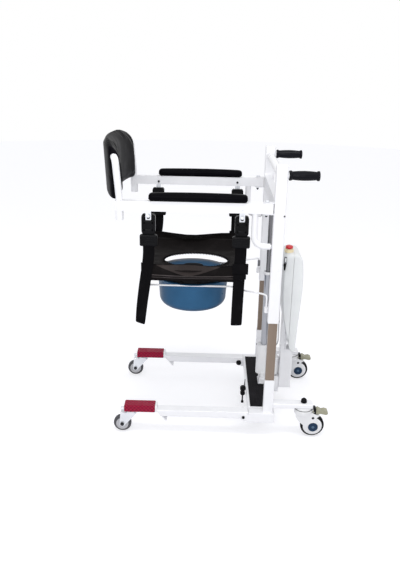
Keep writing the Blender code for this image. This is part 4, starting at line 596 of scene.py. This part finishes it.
def shell(bm, around, along, place):
    """A closed skin: a grid rolled up, u round it and v along it, with both ends filled."""
    made = bmesh.ops.create_grid(bm, x_segments=around, y_segments=along, size=0.5)
    for vert in made["verts"]:
        vert.co = place(vert.co.x + 0.5, vert.co.y + 0.5)
    bmesh.ops.remove_doubles(bm, verts=made["verts"], dist=MERGED)
    bmesh.ops.holes_fill(bm, edges=[e for e in bm.edges if e.is_boundary], sides=0)


def past(value, start):
    """0 up to a start, and from there up to 1 at 1."""
    return max(0.0, (value - start) / (1.0 - start))


def roundness(y, half, radius):
    """1 along a part and down to 0 at its ends, like a quarter circle."""
    beyond = max(0.0, abs(y) - (half - radius)) / radius
    return sqrt(max(0.0, 1.0 - beyond * beyond))


def crowded(v, half):
    """A place across a part, with more rows close to its two ends."""
    t = 2 * v - 1
    return half * (1 - (1 - abs(t)) ** 2) * (1.0 if t > 0 else -1.0)


def turned(name, profile, centre, axis, steps, *ending):
    """A piece of one lathe profile. What follows the steps goes to settle()."""
    bm = bmesh.new()
    lathe(bm, profile, centre, axis, steps)
    return settle(name, bm, *ending)


def blocks(name, corners, edge, segments, *ending):
    """A piece of rounded blocks between pairs of corners."""
    bm = bmesh.new()
    for low, high in corners:
        chunk(bm, low, high, edge, segments)
    return settle(name, bm, *ending)


def swept(name, points, radius, *ending):
    """A piece that is one thin cord."""
    bm = bmesh.new()
    sweep(bm, points, radius, 8)
    return settle(name, bm, *ending)


STUD_STEPS = 20


def stud_profile(radius, rise):
    """A low domed screw head, in millimetres."""
    return [(0.0, rise), (radius * 0.55, rise * 0.9), (radius * 0.9, rise * 0.5), (radius, 0.0),
            (radius, -0.8), (0.0, -0.8)]


print("helpers ready")

# %% [markdown]
# The arm pads and the backrest are foam under vinyl. A foam pad swells between the edges that
# hold it, which a short Cloth simulation with air pressure gives: the closed form is remeshed to
# small even quads, blown up for twenty frames, and no point may move further than a cap. The
# result becomes the mesh.

# %% Foam pads
PRESSURE, TENSION, BENDING = 4.0, 15.0, 0.6
SWELL_FRAMES, VOXEL = 20, 0.005


def swell_pad(bm, name, body, node, cap):
    """Remesh a closed form to even quads, let it swell and give it one subdivision."""
    made = settle(name, bm, VINYL, body, "black_vinyl", 180.0, (node,))
    remesh = made.modifiers.new("remesh", "REMESH")
    remesh.mode = "VOXEL"
    remesh.voxel_size = VOXEL
    remesh.use_smooth_shade = True
    graph = bpy.context.evaluated_depsgraph_get()
    final = bpy.data.meshes.new_from_object(made.evaluated_get(graph))
    start = [v.co.copy() for v in final.vertices]
    swell = made.modifiers.new("swell", "CLOTH").settings
    swell.use_pressure = True
    swell.uniform_pressure_force = PRESSURE
    swell.effector_weights.gravity = 0.0
    swell.tension_stiffness, swell.bending_stiffness = TENSION, BENDING
    for number in range(1, SWELL_FRAMES + 1):
        scene.frame_set(number)
    graph = bpy.context.evaluated_depsgraph_get()
    final = bpy.data.meshes.new_from_object(made.evaluated_get(graph))
    for vert, old in zip(final.vertices, start):
        move = vert.co - old
        if move.length > cap:
            vert.co = old + move.normalized() * cap
    scene.frame_set(1)
    made.modifiers.clear()
    made.data = final
    made.data.materials.clear()
    made.data.materials.append(VINYL)
    made.data.shade_smooth()
    subdivide_once(made)
    print(name, len(final.vertices), "points")
    return made


ARM_EDGE, ARM_TIP = 0.011, 0.9


def arm_cushion(side):
    """A long rounded block whose ends draw in and slope down."""
    low, high = box_of(side + "_arm_pad")
    bm = bmesh.new()
    chunk(bm, low + Vector((0.001, 0.0012, 0.0)), high - Vector((0.001, 0.0012, 0.0015)), ARM_EDGE, 4)
    long_edges = [e for e in bm.edges if abs(e.verts[0].co.x - e.verts[1].co.x) > 0.1]
    bmesh.ops.subdivide_edges(bm, edges=long_edges, cuts=24, use_grid_fill=True)
    centre = (low + high) / 2
    for vert in bm.verts:
        t = abs(vert.co.x - centre.x) / ((high.x - low.x) / 2)
        tip = past(t, ARM_TIP) ** 2
        vert.co.y = centre.y + (vert.co.y - centre.y) * (1.0 - 0.22 * tip)
        vert.co.z = low.z + (vert.co.z - low.z) * (1.0 - 0.1 * tip)
    return swell_pad(bm, side + "_arm_cushion", side + "_arm", side + "_arm_pad", 0.004)


BACK_HALF_WIDTH, BACK_X, BACK_FOOT, BACK_TOP = 0.238, -0.404, 0.985, 1.2185
BACK_BOW, BACK_LEAN, BACK_CORNER = 0.043, 3.0, 0.028
BACK_ROUND, BACK_ALONG = 72, 60
# corners of the section from foot to top: place through the thickness, share of the height, rise
BACK_SECTION = [(-0.012, 0, 0.0), (-0.019, 0, 0.003), (-0.021, 0, 0.014), (-0.021, 0.25, 0), (-0.021, 0.5, 0),
                (-0.021, 0.75, 0), (-0.021, 1, -0.024), (-0.019, 1, -0.01), (-0.012, 1, -0.003),
                (-0.002, 1, -0.007), (0.009, 1, -0.016), (0.0175, 1, -0.03), (0.022, 1, -0.05),
                (0.023, 0.55, 0), (0.0225, 0.35, 0), (0.022, 0.15, 0), (0.0205, 0, 0.012), (0.012, 0, 0.0)]


def back_middle(y, z):
    t = min(1.0, abs(y) / BACK_HALF_WIDTH)
    bow = BACK_BOW * (1.0 - t ** 1.8)
    return BACK_X + 0.007 * t ** 6 - bow - (z - BACK_FOOT) * tan(radians(BACK_LEAN))


def back_spot(through, share, rise, y, roundness_here=1.0):
    """A point of the backrest, drawn in a little towards its two ends."""
    t = abs(y) / BACK_HALF_WIDTH
    top = BACK_TOP - BACK_CORNER * past(t, 0.55) ** 1.8
    foot = BACK_FOOT + 0.004 + 0.006 * t
    z = foot + (top - foot) * share + rise
    centre = (top + foot) / 2
    z = centre + (z - centre) * (1.0 - 0.08 * (1.0 - roundness_here))
    return at(back_middle(y, z) + through * (1.0 - 0.25 * (1.0 - roundness_here)), y, z)


def back_cushion():
    ring = closed_curve(BACK_SECTION, BACK_ROUND)
    half = BACK_HALF_WIDTH - 0.003

    def place(u, v):
        y = crowded(v, half)
        return back_spot(*ring[round(u * BACK_ROUND) % BACK_ROUND], y, roundness(y, half, 0.014))

    bm = bmesh.new()
    shell(bm, BACK_ROUND, BACK_ALONG, place)
    return swell_pad(bm, "backrest_cushion", "backrest", "backrest_pad", 0.005)


def seam(name, cushion, spots, radius, body):
    """A sewn cord laid on a finished cushion: each point is moved onto the nearest surface."""
    solid = cushion.evaluated_get(bpy.context.evaluated_depsgraph_get())
    laid = [solid.closest_point_on_mesh(spot)[1] for spot in spots]
    swept(name, laid + laid[:1], radius, VINYL, body, "black_vinyl", 80.0)


ARM_SEAM_STEPS = 160
for side, s in SIDES:
    cushion = arm_cushion(side)
    low, high = box_of(side + "_arm_pad")
    middle, reach = (low + high) / 2, (high - low) / 2
    loop = []
    for i in range(ARM_SEAM_STEPS):
        angle = 2 * pi * i / ARM_SEAM_STEPS
        c, r = cos(angle), sin(angle)
        loop.append(Vector((middle.x + reach.x * copysign(abs(c) ** 0.2, c),
                            middle.y + reach.y * copysign(abs(r) ** 0.5, r), low.z + 0.009)))
    seam(side + "_arm_seam", cushion, loop, 0.0011, side + "_arm")

# %% [markdown]
# The backrest is thicker at its foot: its front rolls back towards the upper edge, and both upper
# corners fall away. One section is swept across the bow and drawn in at the ends. The cover has a
# sewn cord round its edge, which is laid on after the swelling, because remeshing would melt it.

# %% Backrest
cushion = back_cushion()
SEAM_HALF, SEAM_IN = 0.225, -0.004
loop = [back_spot(SEAM_IN, 0, 0.0, SEAM_HALF * (i / 20 - 1)) for i in range(41)]
loop += [back_spot(SEAM_IN, i / 12, 0.0, BACK_HALF_WIDTH) for i in range(1, 12)]
loop += [back_spot(SEAM_IN, 1, -0.004, SEAM_HALF * (1 - i / 20)) for i in range(41)]
loop += [back_spot(SEAM_IN, 1 - i / 12, 0.0, -BACK_HALF_WIDTH) for i in range(1, 12)]
seam("backrest_seam", cushion, loop, 0.0012, "backrest")
print("backrest and seams")

# %% [markdown]
# The seat is a split sling: one nylon panel with an oval opening between the two sides, and a
# side panel from strap to strap. On the real seat an elastic runs in the hem of the opening
# and gathers the cloth. The panel starts as a grid whose rows run round the opening; a sine in
# the last rows makes the gathers.

# %% Seat panel
SLING_FRONT_X = MAST_X - 0.5285
SLING_REAR_X = MAST_X - 0.1275
SLING_SIDE_Y = 0.236
SEAT_Z, SIDE_RISE = 0.682, 0.034
HOLE_MIDDLE_X = MAST_X - 0.3165
HOLE_HALF_X, HOLE_HALF_Y = 0.138, 0.102
HEM_RISE, HEM_REACH, HEM_POINTS = 0.0035, 0.1, 192
GATHERS, GATHER_RISE, PUCKER_RISE = 64, 0.003, 0.0022


def seat_height(y):
    return SEAT_Z + SIDE_RISE * past(abs(y) / SLING_SIDE_Y, 0.6) ** 1.5


def around_hole(u, v):
    """u runs round the opening, v from its hem out to the panel's edge."""
    angle = 2 * pi * u
    c, s = cos(angle), sin(angle)
    inner = Vector((HOLE_MIDDLE_X + HOLE_HALF_X * c, HOLE_HALF_Y * s, 0.0))
    half_x = (SLING_REAR_X - SLING_FRONT_X) / 2 - 0.006
    middle_x = (SLING_REAR_X + SLING_FRONT_X) / 2
    reach = 1.0 / max(abs(c), abs(s))
    outer = Vector((middle_x + half_x * c * reach, (SLING_SIDE_Y - 0.002) * s * reach, 0.0))
    spot = inner.lerp(outer, v)
    near = exp(-v / HEM_REACH)
    gather = sin(angle * GATHERS) * GATHER_RISE * near
    pucker = noise.noise(Vector((spot.x * 22, spot.y * 22, 3.0))) * PUCKER_RISE * (1.0 - near)
    spot.z = seat_height(spot.y) + HEM_RISE * near + gather + pucker
    return spot


seat_panel = sheet_grid("sling_seat_panel", 384, 16, around_hole, (0.8, 0.12), SLING_CLOTH, *SLING,
                        0.003, softened=False)
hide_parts("seat_sling")

hem_points = [around_hole(i / HEM_POINTS, 0.0) for i in range(HEM_POINTS)]
swept("sling_hole_hem", hem_points + hem_points[:1], 0.0034, SLING_WEBBING, *SLING, 80.0)
print("seat panel with", GATHERS, "gathers")

# %% [markdown]
# Each side panel hangs between two straps. Its upper edge sags, more on the near side, where the
# photograph shows the pan's lid over it. The cloth above a shallow V-shaped crease leans in
# towards the seat and catches the light, and a band of piping runs just above the hem.

# %% Side panels
PANEL_TOP, PANEL_HEM = 0.745, 0.673
NEAR_SAG, FAR_SAG = 0.0165, 0.004
CREASE_X = MAST_X - 0.3445
CREASE_DEPTH, CREASE_HALF, LEAN_IN = 0.033, 0.135, 0.04


def panel_edge(u, s):
    return PANEL_TOP - (NEAR_SAG if s < 0 else FAR_SAG) * sin(pi * u)


def panel_spot(u, v, s, proud=0.0):
    x = SLING_FRONT_X + (SLING_REAR_X - SLING_FRONT_X) * u
    top = panel_edge(u, s)
    crease = top - 0.003 - CREASE_DEPTH * max(0.0, 1.0 - abs(x - CREASE_X) / CREASE_HALF)
    z = PANEL_HEM + (top - PANEL_HEM) * v
    above_crease = max(0.0, (z - crease) / max(0.001, top - crease))
    lean = LEAN_IN * above_crease * min(1.0, (top - crease) / 0.03)
    wrinkle = 0.0016 * noise.noise(Vector((x * 30, s * 2, z * 40)))
    bulge = 0.004 * sin(pi * v)
    return Vector((x, s * (SLING_SIDE_Y + bulge - lean + proud) + wrinkle, z))


for side, s in SIDES:
    panel = sheet_grid("sling_" + side + "_panel", 60, 22, lambda u, v: panel_spot(u, v, s),
                       (0.4, 0.1), SLING_CLOTH, *SLING, 0.0026)
    rows = ((0.04, 0.0022, SLING_WEBBING), (0.23, 0.0015, SLING_PIPING), (0.37, 0.0024, SLING_PIPING),
            (0.985, 0.0026, SLING_WEBBING))
    for number, (height, radius, material) in enumerate(rows):
        line = [panel_spot(i / 40, height, s, 0.0012) for i in range(41)]
        swept("sling_%s_seam_%d" % (side, number), line, radius, material, *SLING, 80.0)
print("side panels hang from z", PANEL_TOP, "to", PANEL_HEM)

# %% [markdown]
# Above the crease the seat panel's cloth is folded over the top edge of the side panel, and its colour is
# painted several times lighter than the panel: a painted sheen on the upturned fold. It is a shallow triangle
# of cloth, so its grid narrows towards the point.

# %% Folded cloth with painted sheen
FOLD_HALF, FOLD_DEPTH = 0.128, 0.038


def fold_spot(u, v, s):
    x = CREASE_X + (u - 0.5) * 2 * FOLD_HALF
    share = (x - SLING_FRONT_X) / (SLING_REAR_X - SLING_FRONT_X)
    edge = panel_edge(share, s)
    drop = 0.002 + (FOLD_DEPTH - 0.002) * (1.0 - abs(u - 0.5) * 2) ** 0.9
    z = edge + 0.002 - drop * (1 - v)
    height = min(1.0, (z - PANEL_HEM) / (edge - PANEL_HEM))
    crumple = 0.0016 * noise.noise(Vector((x * 60, s * 5, z * 60)))
    return panel_spot(share, height, s, 0.0038 + crumple)


for side, s in SIDES:
    fold = sheet_grid("sling_" + side + "_fold", 48, 10, lambda u, v: fold_spot(u, v, s),
                      (0.256, 0.038), SLING_FOLD_SHEEN, *SLING, 0.0016)
print("folded lining")

# %% [markdown]
# The straps are 46 mm webbing. Each comes out of its adjuster, runs down the side panel, where
# it is sewn on, and hangs free below as a tail. The front tails twist and show their edge, and
# the near one is cut at a slant. Every row of the grid may turn about its own middle.

# %% Straps
WEB_WIDTH, WEB_THICKNESS, TAIL_SLANT = 0.046, 0.003, 0.026
STRAP_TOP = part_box("left_front_buckle")[0][2] + 0.002
TAIL_END, TAIL_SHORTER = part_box("seat_sling")[0][2], 0.025
# height, share of the drift and distance from the lift's middle, from the adjuster to the tail
STRAP_ROUTE = [(STRAP_TOP, 0.0, 0.25), (0.79, 0.0, 0.25), (0.745, 0.12, 0.244), (0.7, 0.3, 0.2435),
               (0.65, 0.5, 0.242), (0.57, 0.78, 0.2425)]
TAIL_OUT = 0.244


def strap(name, s, x, drift, twist, tail):
    route = STRAP_ROUTE + [(tail, 1.0, TAIL_OUT)]
    middle = smooth_path([(x + drift * share, s * out, z) for z, share, out in route])
    length = sum((b - a).length for a, b in zip(middle[:-1], middle[1:]))

    def place(u, v):
        row = v * (len(middle) - 1)
        i = min(int(row), len(middle) - 2)
        spot = middle[i].lerp(middle[i + 1], row - i)
        turn = radians(twist) * past(v, 0.55) ** 1.4
        side = Vector((cos(turn), -s * sin(turn), 0.0))
        cup = 0.001 * cos(pi * (u - 0.5) * 2)
        slant = TAIL_SLANT * (u - 0.5) * past(v, 0.8) if s < 0 and x < CREASE_X else 0.0
        return spot + side * ((u - 0.5) * WEB_WIDTH) + Vector((0.0, s * cup, -slant))

    made = sheet_grid(name, 6, 40, place, (WEB_WIDTH, length), SLING_WEBBING, *SLING, WEB_THICKNESS)
    return length


HANG_FRONT_X = sum(corner[0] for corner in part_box("left_front_buckle")) / 2
HANG_REAR_X = sum(corner[0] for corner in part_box("left_rear_buckle")) / 2
for side, s in SIDES:
    tail = TAIL_END + (0.0 if s < 0 else TAIL_SHORTER)
    first = strap("sling_" + side + "_front_strap", s, HANG_FRONT_X, -0.037, 42.0, tail)
    second = strap("sling_" + side + "_rear_strap", s, HANG_REAR_X, -0.006, 6.0, tail)
    print(side, "straps", round(first, 3), round(second, 3), "m")

# %% [markdown]
# The raised nose of each leg wears a quilted crimson cover. It is wrapped round the tube and
# closed in front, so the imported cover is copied, merged and cut into small cells. The quilting
# itself is in the material.

# %% Leg covers
COVER_CELL = 0.006
for side, s in SIDES:
    low, high = box_of(side + "_leg_sleeve")
    cover = bmesh.new()
    cover.from_mesh(bpy.data.objects[side + "_leg_sleeve"].data)
    bmesh.ops.remove_doubles(cover, verts=cover.verts, dist=0.00002)
    bmesh.ops.dissolve_limit(cover, angle_limit=0.02, verts=cover.verts, edges=cover.edges)
    for axis in range(3):
        span = high[axis] - low[axis]
        steps = max(2, int(span / COVER_CELL))
        for i in range(1, steps):
            point, normal = [0.0, 0.0, 0.0], [0.0, 0.0, 0.0]
            point[axis] = low[axis] + span * i / steps
            normal[axis] = 1.0
            bmesh.ops.bisect_plane(cover, geom=cover.verts[:] + cover.edges[:] + cover.faces[:],
                                   plane_co=point, plane_no=normal)
    settle(side + "_leg_cover", cover, CRIMSON_QUILT, "base", "crimson_sleeve", 50.0,
           (side + "_leg_sleeve",))
print("leg covers")

# %% [markdown]
# The buckles are moulded in black nylon. A raised face with a sunken window stands proud of each
# one, with three ribs on its adjuster below. Each rear strap also carries two keepers that hold
# its tail, as folded webbing loops.

# %% Buckle faces and keepers
WINDOW = ((-0.0185, 0.0185, 0.9085, 0.923), (-0.0185, 0.0185, 0.876, 0.889),
          (-0.0185, -0.0125, 0.88, 0.918), (0.0125, 0.0185, 0.88, 0.918))
HANGERS = (("front", HANG_FRONT_X), ("rear", HANG_REAR_X))
FACE_IN, FACE_OUT, RIB_OUT, RIB_HALF = 0.2605, 0.2632, 0.2612, 0.026
KEEPER_IN, KEEPER_OUT = 0.2385, 0.249
for side, s in SIDES:
    for end, x in HANGERS:
        face = bmesh.new()
        near, far = sorted((s * FACE_IN, s * FACE_OUT))
        for left_x, right_x, foot_z, top_z in WINDOW:
            chunk(face, (x + left_x, near, foot_z), (x + right_x, far, top_z), 0.0011)
        for level_z in (0.833, 0.842, 0.851):
            bar(face, (x - RIB_HALF, s * RIB_OUT, level_z), (x + RIB_HALF, s * RIB_OUT, level_z),
                0.0013, 10, 0.0004)
        settle("%s_%s_buckle_face" % (side, end), face, BLACK_NYLON_MOULDED, "carriage", "black_plastic")
    keeper = bmesh.new()
    near, far = sorted((s * KEEPER_IN, s * KEEPER_OUT))
    chunk(keeper, (HANG_REAR_X - 0.03, near, 0.709), (HANG_REAR_X + 0.0325, far, 0.7525), 0.0022, 3)
    chunk(keeper, (HANG_REAR_X - 0.026, near, 0.6885), (HANG_REAR_X + 0.025, far, 0.7075), 0.002, 3)
    settle(side + "_strap_keeper", keeper, SLING_WEBBING, *SLING)
print("buckle faces and keepers")

# %% [markdown]
# Pan and lid are spun plastic: one profile with thickness, turned once round. Sixty-four steps keep their
# outline round, and the rim gets a rolled bead. The lid's black handle is a piece of its own that rides on
# the lid, and so is a black ring round the lid's rim, a painted shadow for the shade that the sling casts
# there. Two clips hold the pan's wire on the near side.

# %% Pan and lid
PAN_PLACE = at(-0.118, 0.0, 0.0)
UPRIGHT = (0, 0, 1)


def pan_corner(radius):
    """A quarter circle from the pan's wall to its floor."""
    turns = [radians(degrees) for degrees in range(0, 90, 6)]
    return [(107.5 + radius * cos(turn), 531.2 - radius * sin(turn)) for turn in turns]


PAN_PROFILE = [(0, 498.2), (104, 498.2), *pan_corner(33.2)[::-1], (143, 565), (146.5, 605),
               (148.5, 627.5), (150, 631.2), (153, 632.2), (168, 632.2), (170.2, 631.4), (170.9, 630.3),
               (170.2, 629.5), (154, 629), (151.8, 627), (149.5, 605), (145.8, 565), *pan_corner(36),
               (102, 495.2), (0, 495.2)]
LID_PROFILE = [(0, 659), (50, 658.2), (100, 655.2), (134, 650.8), (148, 647.4), (155, 643.2),
               (157.6, 638), (157.6, 633.8), (156, 633.2), (144.5, 633.2), (144, 625.5), (141, 625.5),
               (140.5, 638), (134, 647), (100, 652.2), (50, 655.2), (0, 656)]
LID_RIM_SHADOW_PROFILE = [(157.4, 0), (158.4, 0.8), (158.8, 4), (158.4, 10), (157.4, 10.8), (157.4, 0)]
turned("commode_pan_turned", PAN_PROFILE, PAN_PLACE, UPRIGHT, 64, PAN_BLUE, "pan", "pan_blue", 50.0,
       ("commode_pan",))
turned("pan_lid_turned", LID_PROFILE, PAN_PLACE, UPRIGHT, 64, PAN_BLUE, "lid", "pan_blue", 50.0,
       ("pan_lid",))
knob = bmesh.new()
arch = [(-0.16, 0.654), (-0.154, 0.662), (-0.14, 0.6655), (-0.118, 0.6665), (-0.096, 0.6655),
        (-0.082, 0.662), (-0.076, 0.654)]
sweep(knob, smooth_path([at(x, 0, z) for x, z in arch]), 0.0062, 14)
chunk(knob, at(-0.154, -0.0115, 0.655), at(-0.082, 0.0115, 0.669), 0.0055, 3)
settle("pan_lid_handle", knob, BLACK_NYLON_MOULDED, "lid", "black_plastic")
# Painted shadow: a black ring over the lid's rim stands for the shade that the sling casts there.
turned("pan_lid_gasket", LID_RIM_SHADOW_PROFILE, PAN_PLACE + Vector((0, 0, 0.6336)), UPRIGHT, 64, BLACK_TYRE,
       "lid", "black_plastic")
blocks("left_pan_wire_clips", [(at(x - 0.0065, -0.1615, 0.6335), at(x + 0.0065, -0.1505, 0.64))
                               for x in (-0.1632, -0.0916)],
       0.0018, 3, BLACK_NYLON_MOULDED, "carriage", "black_plastic")
print("pan and lid")

# %% [markdown]
# The control unit and its battery are thin mouldings with soft corners. Each is a closed outline
# seen from the side, swept across the lift and drawn in near both ends, so that every edge is
# round. The small gap between the two is the seam where the battery unclips.

# %% Control box and battery
UNIT_CORNER, UNIT_ROWS = 0.012, 44


def moulding(bm, outline, half, pull_x, pull_z, outer):
    """An outline in millimetres, swept from -half to half and drawn in at both ends."""
    count = 6 * len(outline)
    ring = closed_curve([(x / 1000, z / 1000) for x, z in outline], count)
    middle = Vector([(max(p[k] for p in ring) + min(p[k] for p in ring)) / 2 for k in (0, 1)])
    reach = Vector([(max(p[k] for p in ring) - min(p[k] for p in ring)) / 2 for k in (0, 1)])

    def place(u, v):
        y = crowded(v, half)
        drop = 1.0 - roundness(y, half, UNIT_CORNER)
        spot = ring[round(u * count) % count] - middle
        inwards = pull_x * drop * max(0.0, outer * spot.x / reach.x)
        return at(middle.x + spot.x - outer * inwards, y, middle.y + spot.y * (1 - pull_z * drop / reach.y))

    shell(bm, count, UNIT_ROWS, place)


UNIT_HALF, UNIT_PULL = 0.078, (0.006, 0.012)
BOX_OUTLINE = [(302.2, 742.5), (293, 743.2), (280, 741.2), (270, 735), (265, 722), (264.3, 700),
               (264.3, 660), (264.5, 610), (265.2, 565), (268, 520), (273.5, 475), (281, 435),
               (289.5, 398), (296.5, 366), (301, 345.5), (302.5, 348), (302.6, 370), (302.6, 450),
               (302.6, 550), (302.6, 650), (302.6, 725), (302.6, 740)]
PACK_OUTLINE = [(304.1, 742), (313, 742.5), (323, 740), (331, 734), (337.5, 722), (342.5, 700),
                (346, 665), (347.6, 630), (347.8, 590), (346.2, 550), (343.5, 500), (340.5, 450),
                (337.5, 400), (335.5, 350), (333.5, 315), (328.5, 297.5), (321.5, 294.5), (313, 301),
                (306.5, 320), (304.1, 342), (303.9, 400), (303.9, 500), (303.9, 600), (303.9, 700),
                (303.9, 738)]
for name, outline, outer, body in (("control_box", BOX_OUTLINE, -1.0, "base"),
                                   ("battery_pack", PACK_OUTLINE, 1.0, "battery")):
    bm = bmesh.new()
    moulding(bm, outline, UNIT_HALF, *UNIT_PULL, outer)
    settle(name + "_shell", bm, PALE_SHELL, body, "pale_shell", 60.0, (name,))
RING_PROFILE = [(8, 0), (18.5, 0), (19.5, 1.2), (19.2, 9), (18, 12.5), (16.2, 13.8), (8, 13.8)]
BOOT_PROFILE = [(0, 0), (3.4, 0), (4, 4), (4.6, 10), (4, 12), (5.6, 16), (5.6, 30), (0, 30)]
turned("stop_ring", RING_PROFILE, at(0.285, -0.03, 0.7415), UPRIGHT, 40, CREAM_RING, "base",
       "pale_shell")
blocks("cable_socket", [(at(0.261, -0.0822, 0.701), at(0.2725, -0.077, 0.734))], 0.0024, 3,
       GREY_PLUG, "base", "black_plastic")
blocks("cable_socket_cover", [(at(0.264, -0.0836, 0.712), at(0.27, -0.0815, 0.729))], 0.0008, 2,
       PALE_SHELL, "base", "pale_shell")
turned("cable_boot", BOOT_PROFILE, at(0.265, -0.08, 0.676), UPRIGHT, 20, BLACK_NYLON_MOULDED, "base",
       "black_plastic")
blocks("rear_post_cap", [(at(0.2962, -0.0276, 0.284), at(0.3311, 0.0276, 0.2885)),
                         (at(0.2957, -0.0276, 0.286), at(0.3022, 0.0276, 0.362))],
       0.0014, 2, POWDER_COAT, "base", "white_powder_coat")
print("control box, battery, ring, socket")

# %% [markdown]
# Casters are made of many small turned parts. Each wheel shows a pale disc inside its tyre, the
# rear axles end in navy caps with a lighter heart, and the front axles in a ringed nut. All of
# them are lathe work on the wheel's own axis, and each rides on the body that turns with it.

# %% Caster details
CASTER_Y, NECK_RADIUS = 0.257, 0.0372
# name, profile, place (x, out from the wheel's middle, z), steps, finish, body, slot
WHEEL_PARTS = [
    ("rear_wheel_disc", [(10, 0.6), (34, 0.6), (38.5, 0), (40, -1), (10, -1), (10, 0.6)],
     (0.4015, 0.0149, 0.05), 48, CASTER_SHELL, "rear_wheel", "caster_shell"),
    ("rear_hub_cap", [(6.2, 1.8), (13, 0.8), (17.8, 0.8), (19.2, 1.6), (20.6, 0.8), (20.6, -1),
                      (6.2, -1), (6.2, 1.8)],
     (0.403, 0.0222, 0.049), 48, HUB_DISC, "rear_housing", "caster_shell"),
    ("rear_hub_heart", [(0, 2.6), (4, 2.4), (6.1, 1.2), (6.1, -1), (0, -1)],
     (0.403, 0.0222, 0.049), 32, HUB_HEART, "rear_housing", "caster_shell"),
    ("rear_pin", stud_profile(6.6, 3.0), (0.401, 0.0178, 0.0905), STUD_STEPS, DARK_BOLT,
     "rear_housing", "zinc_plate"),
    ("front_wheel_disc", [(6, 0.4), (20, 0.4), (24.5, 1), (26.2, 0.2), (26.2, -1), (6, -1), (6, 0.4)],
     (-0.4015, 0.0134, 0.0375), 48, PALE_HUB, "front_wheel", "grey_tyre"),
    ("front_axle_nut", [(0, 3), (3.6, 3), (4.4, 1.2), (6.2, 2), (7.8, 1.8), (8.4, 0), (0, 0)],
     (-0.4015, 0.0214, 0.0395), 24, DARK_BOLT, "front_fork", "zinc_plate"),
]
for side, s in SIDES:
    for facing in (-1.0, 1.0):
        label = side + ("_outer_" if facing == s else "_inner_")
        for name, profile, (x, out, z), steps, finish, body, slot in WHEEL_PARTS:
            turned(label + name, profile, at(x, s * CASTER_Y + facing * out, z), (0, facing, 0), steps,
                   finish, side + "_" + body, slot)
    around = [at(0.3603 + NECK_RADIUS * cos(a), s * CASTER_Y + NECK_RADIUS * sin(a), 0.13)
              for a in [2 * pi * i / 48 for i in range(49)]]
    swept(side + "_rear_neck_line", around, 0.0011, DARK_BOLT, side + "_rear_housing", "zinc_plate")
    blocks(side + "_pedal_tip", [(at(0.4025, s * CASTER_Y - 0.0165, 0.105),
                                  at(0.4125, s * CASTER_Y + 0.0165, 0.132))],
           0.0018, 3, BLACK_NYLON_MOULDED, side + "_brake", "black_plastic")
    blocks(side + "_nose_lug", [(at(-0.409, s * CASTER_Y - 0.008, 0.1005),
                                 at(-0.39, s * CASTER_Y + 0.008, 0.11))],
           0.002, 3, ZINC, "base", "zinc_plate")
print("caster details")

# %% [markdown]
# Last come the screws, rivets, slots and collars that tell a reader how the frame is held
# together. Screws and rivets are small domed studs, from one profile, listed with their places.

# %% Small fittings
# name, body, x, y, z, radius in millimetres, and 1 where the head faces away from the lift's middle
SCREWS = [
    ("hanger_front_inside", "arm", -0.284, 0.2428, 0.9738, 5.0, -1),
    ("hanger_rear_inside", "arm", 0.069, 0.2428, 0.9765, 5.0, -1),
    ("hinge_under", "carriage", 0.161, 0.256, 0.949, 5.0, 1),
    ("socket_inside", "base", 0.196, 0.24, 0.185, 6.0, -1),
    ("column_face", "carriage", 0.228, 0.2743, 0.953, 3.6, 1),
]
COLLAR_PROFILE = [(16.6, 0), (19, 0), (19.6, 1), (19.6, 11), (18.8, 12), (16.6, 12), (16.6, 0)]
CLIP_PROFILE = [(0, 0), (5, 0), (5.8, 3), (5, 14), (0, 14)]
for side, s in SIDES:
    for name, body, x, y, z, radius, out in SCREWS:
        turned("%s_%s_screw" % (side, name), stud_profile(radius, 2.4), at(x, s * y, z), (0, s * out, 0),
               STUD_STEPS, DARK_BOLT, side + "_arm" if body == "arm" else body, "zinc_plate")
    for end, x in HANGERS:
        rivet = bmesh.new()
        for y, z, radius in ((0.268, 0.9405, 6.4), (0.2743, 0.9745, 3.4)):
            lathe(rivet, stud_profile(radius, 1.6), (x, s * y, z), (0, s, 0), STUD_STEPS)
        settle("%s_%s_hanger_rivet" % (side, end), rivet, ZINC, side + "_arm", "zinc_plate")
    blocks(side + "_column_slot", [(at(0.1775, s * 0.2396 - 0.0012, 0.587),
                                    at(0.1885, s * 0.2396 + 0.0012, 0.616))],
           0.0011, 3, GREY_PLUG, "carriage", "black_plastic")
turned("actuator_collar", COLLAR_PROFILE, at(0.2045, 0.0, 0.6305), UPRIGHT, 40, CASTER_SHELL, "base",
       "caster_shell")
turned("cable_clip", CLIP_PROFILE, at(0.262, -0.01, 0.408), UPRIGHT, 20, BLACK_NYLON_MOULDED, "base",
       "black_plastic")
print("small fittings")
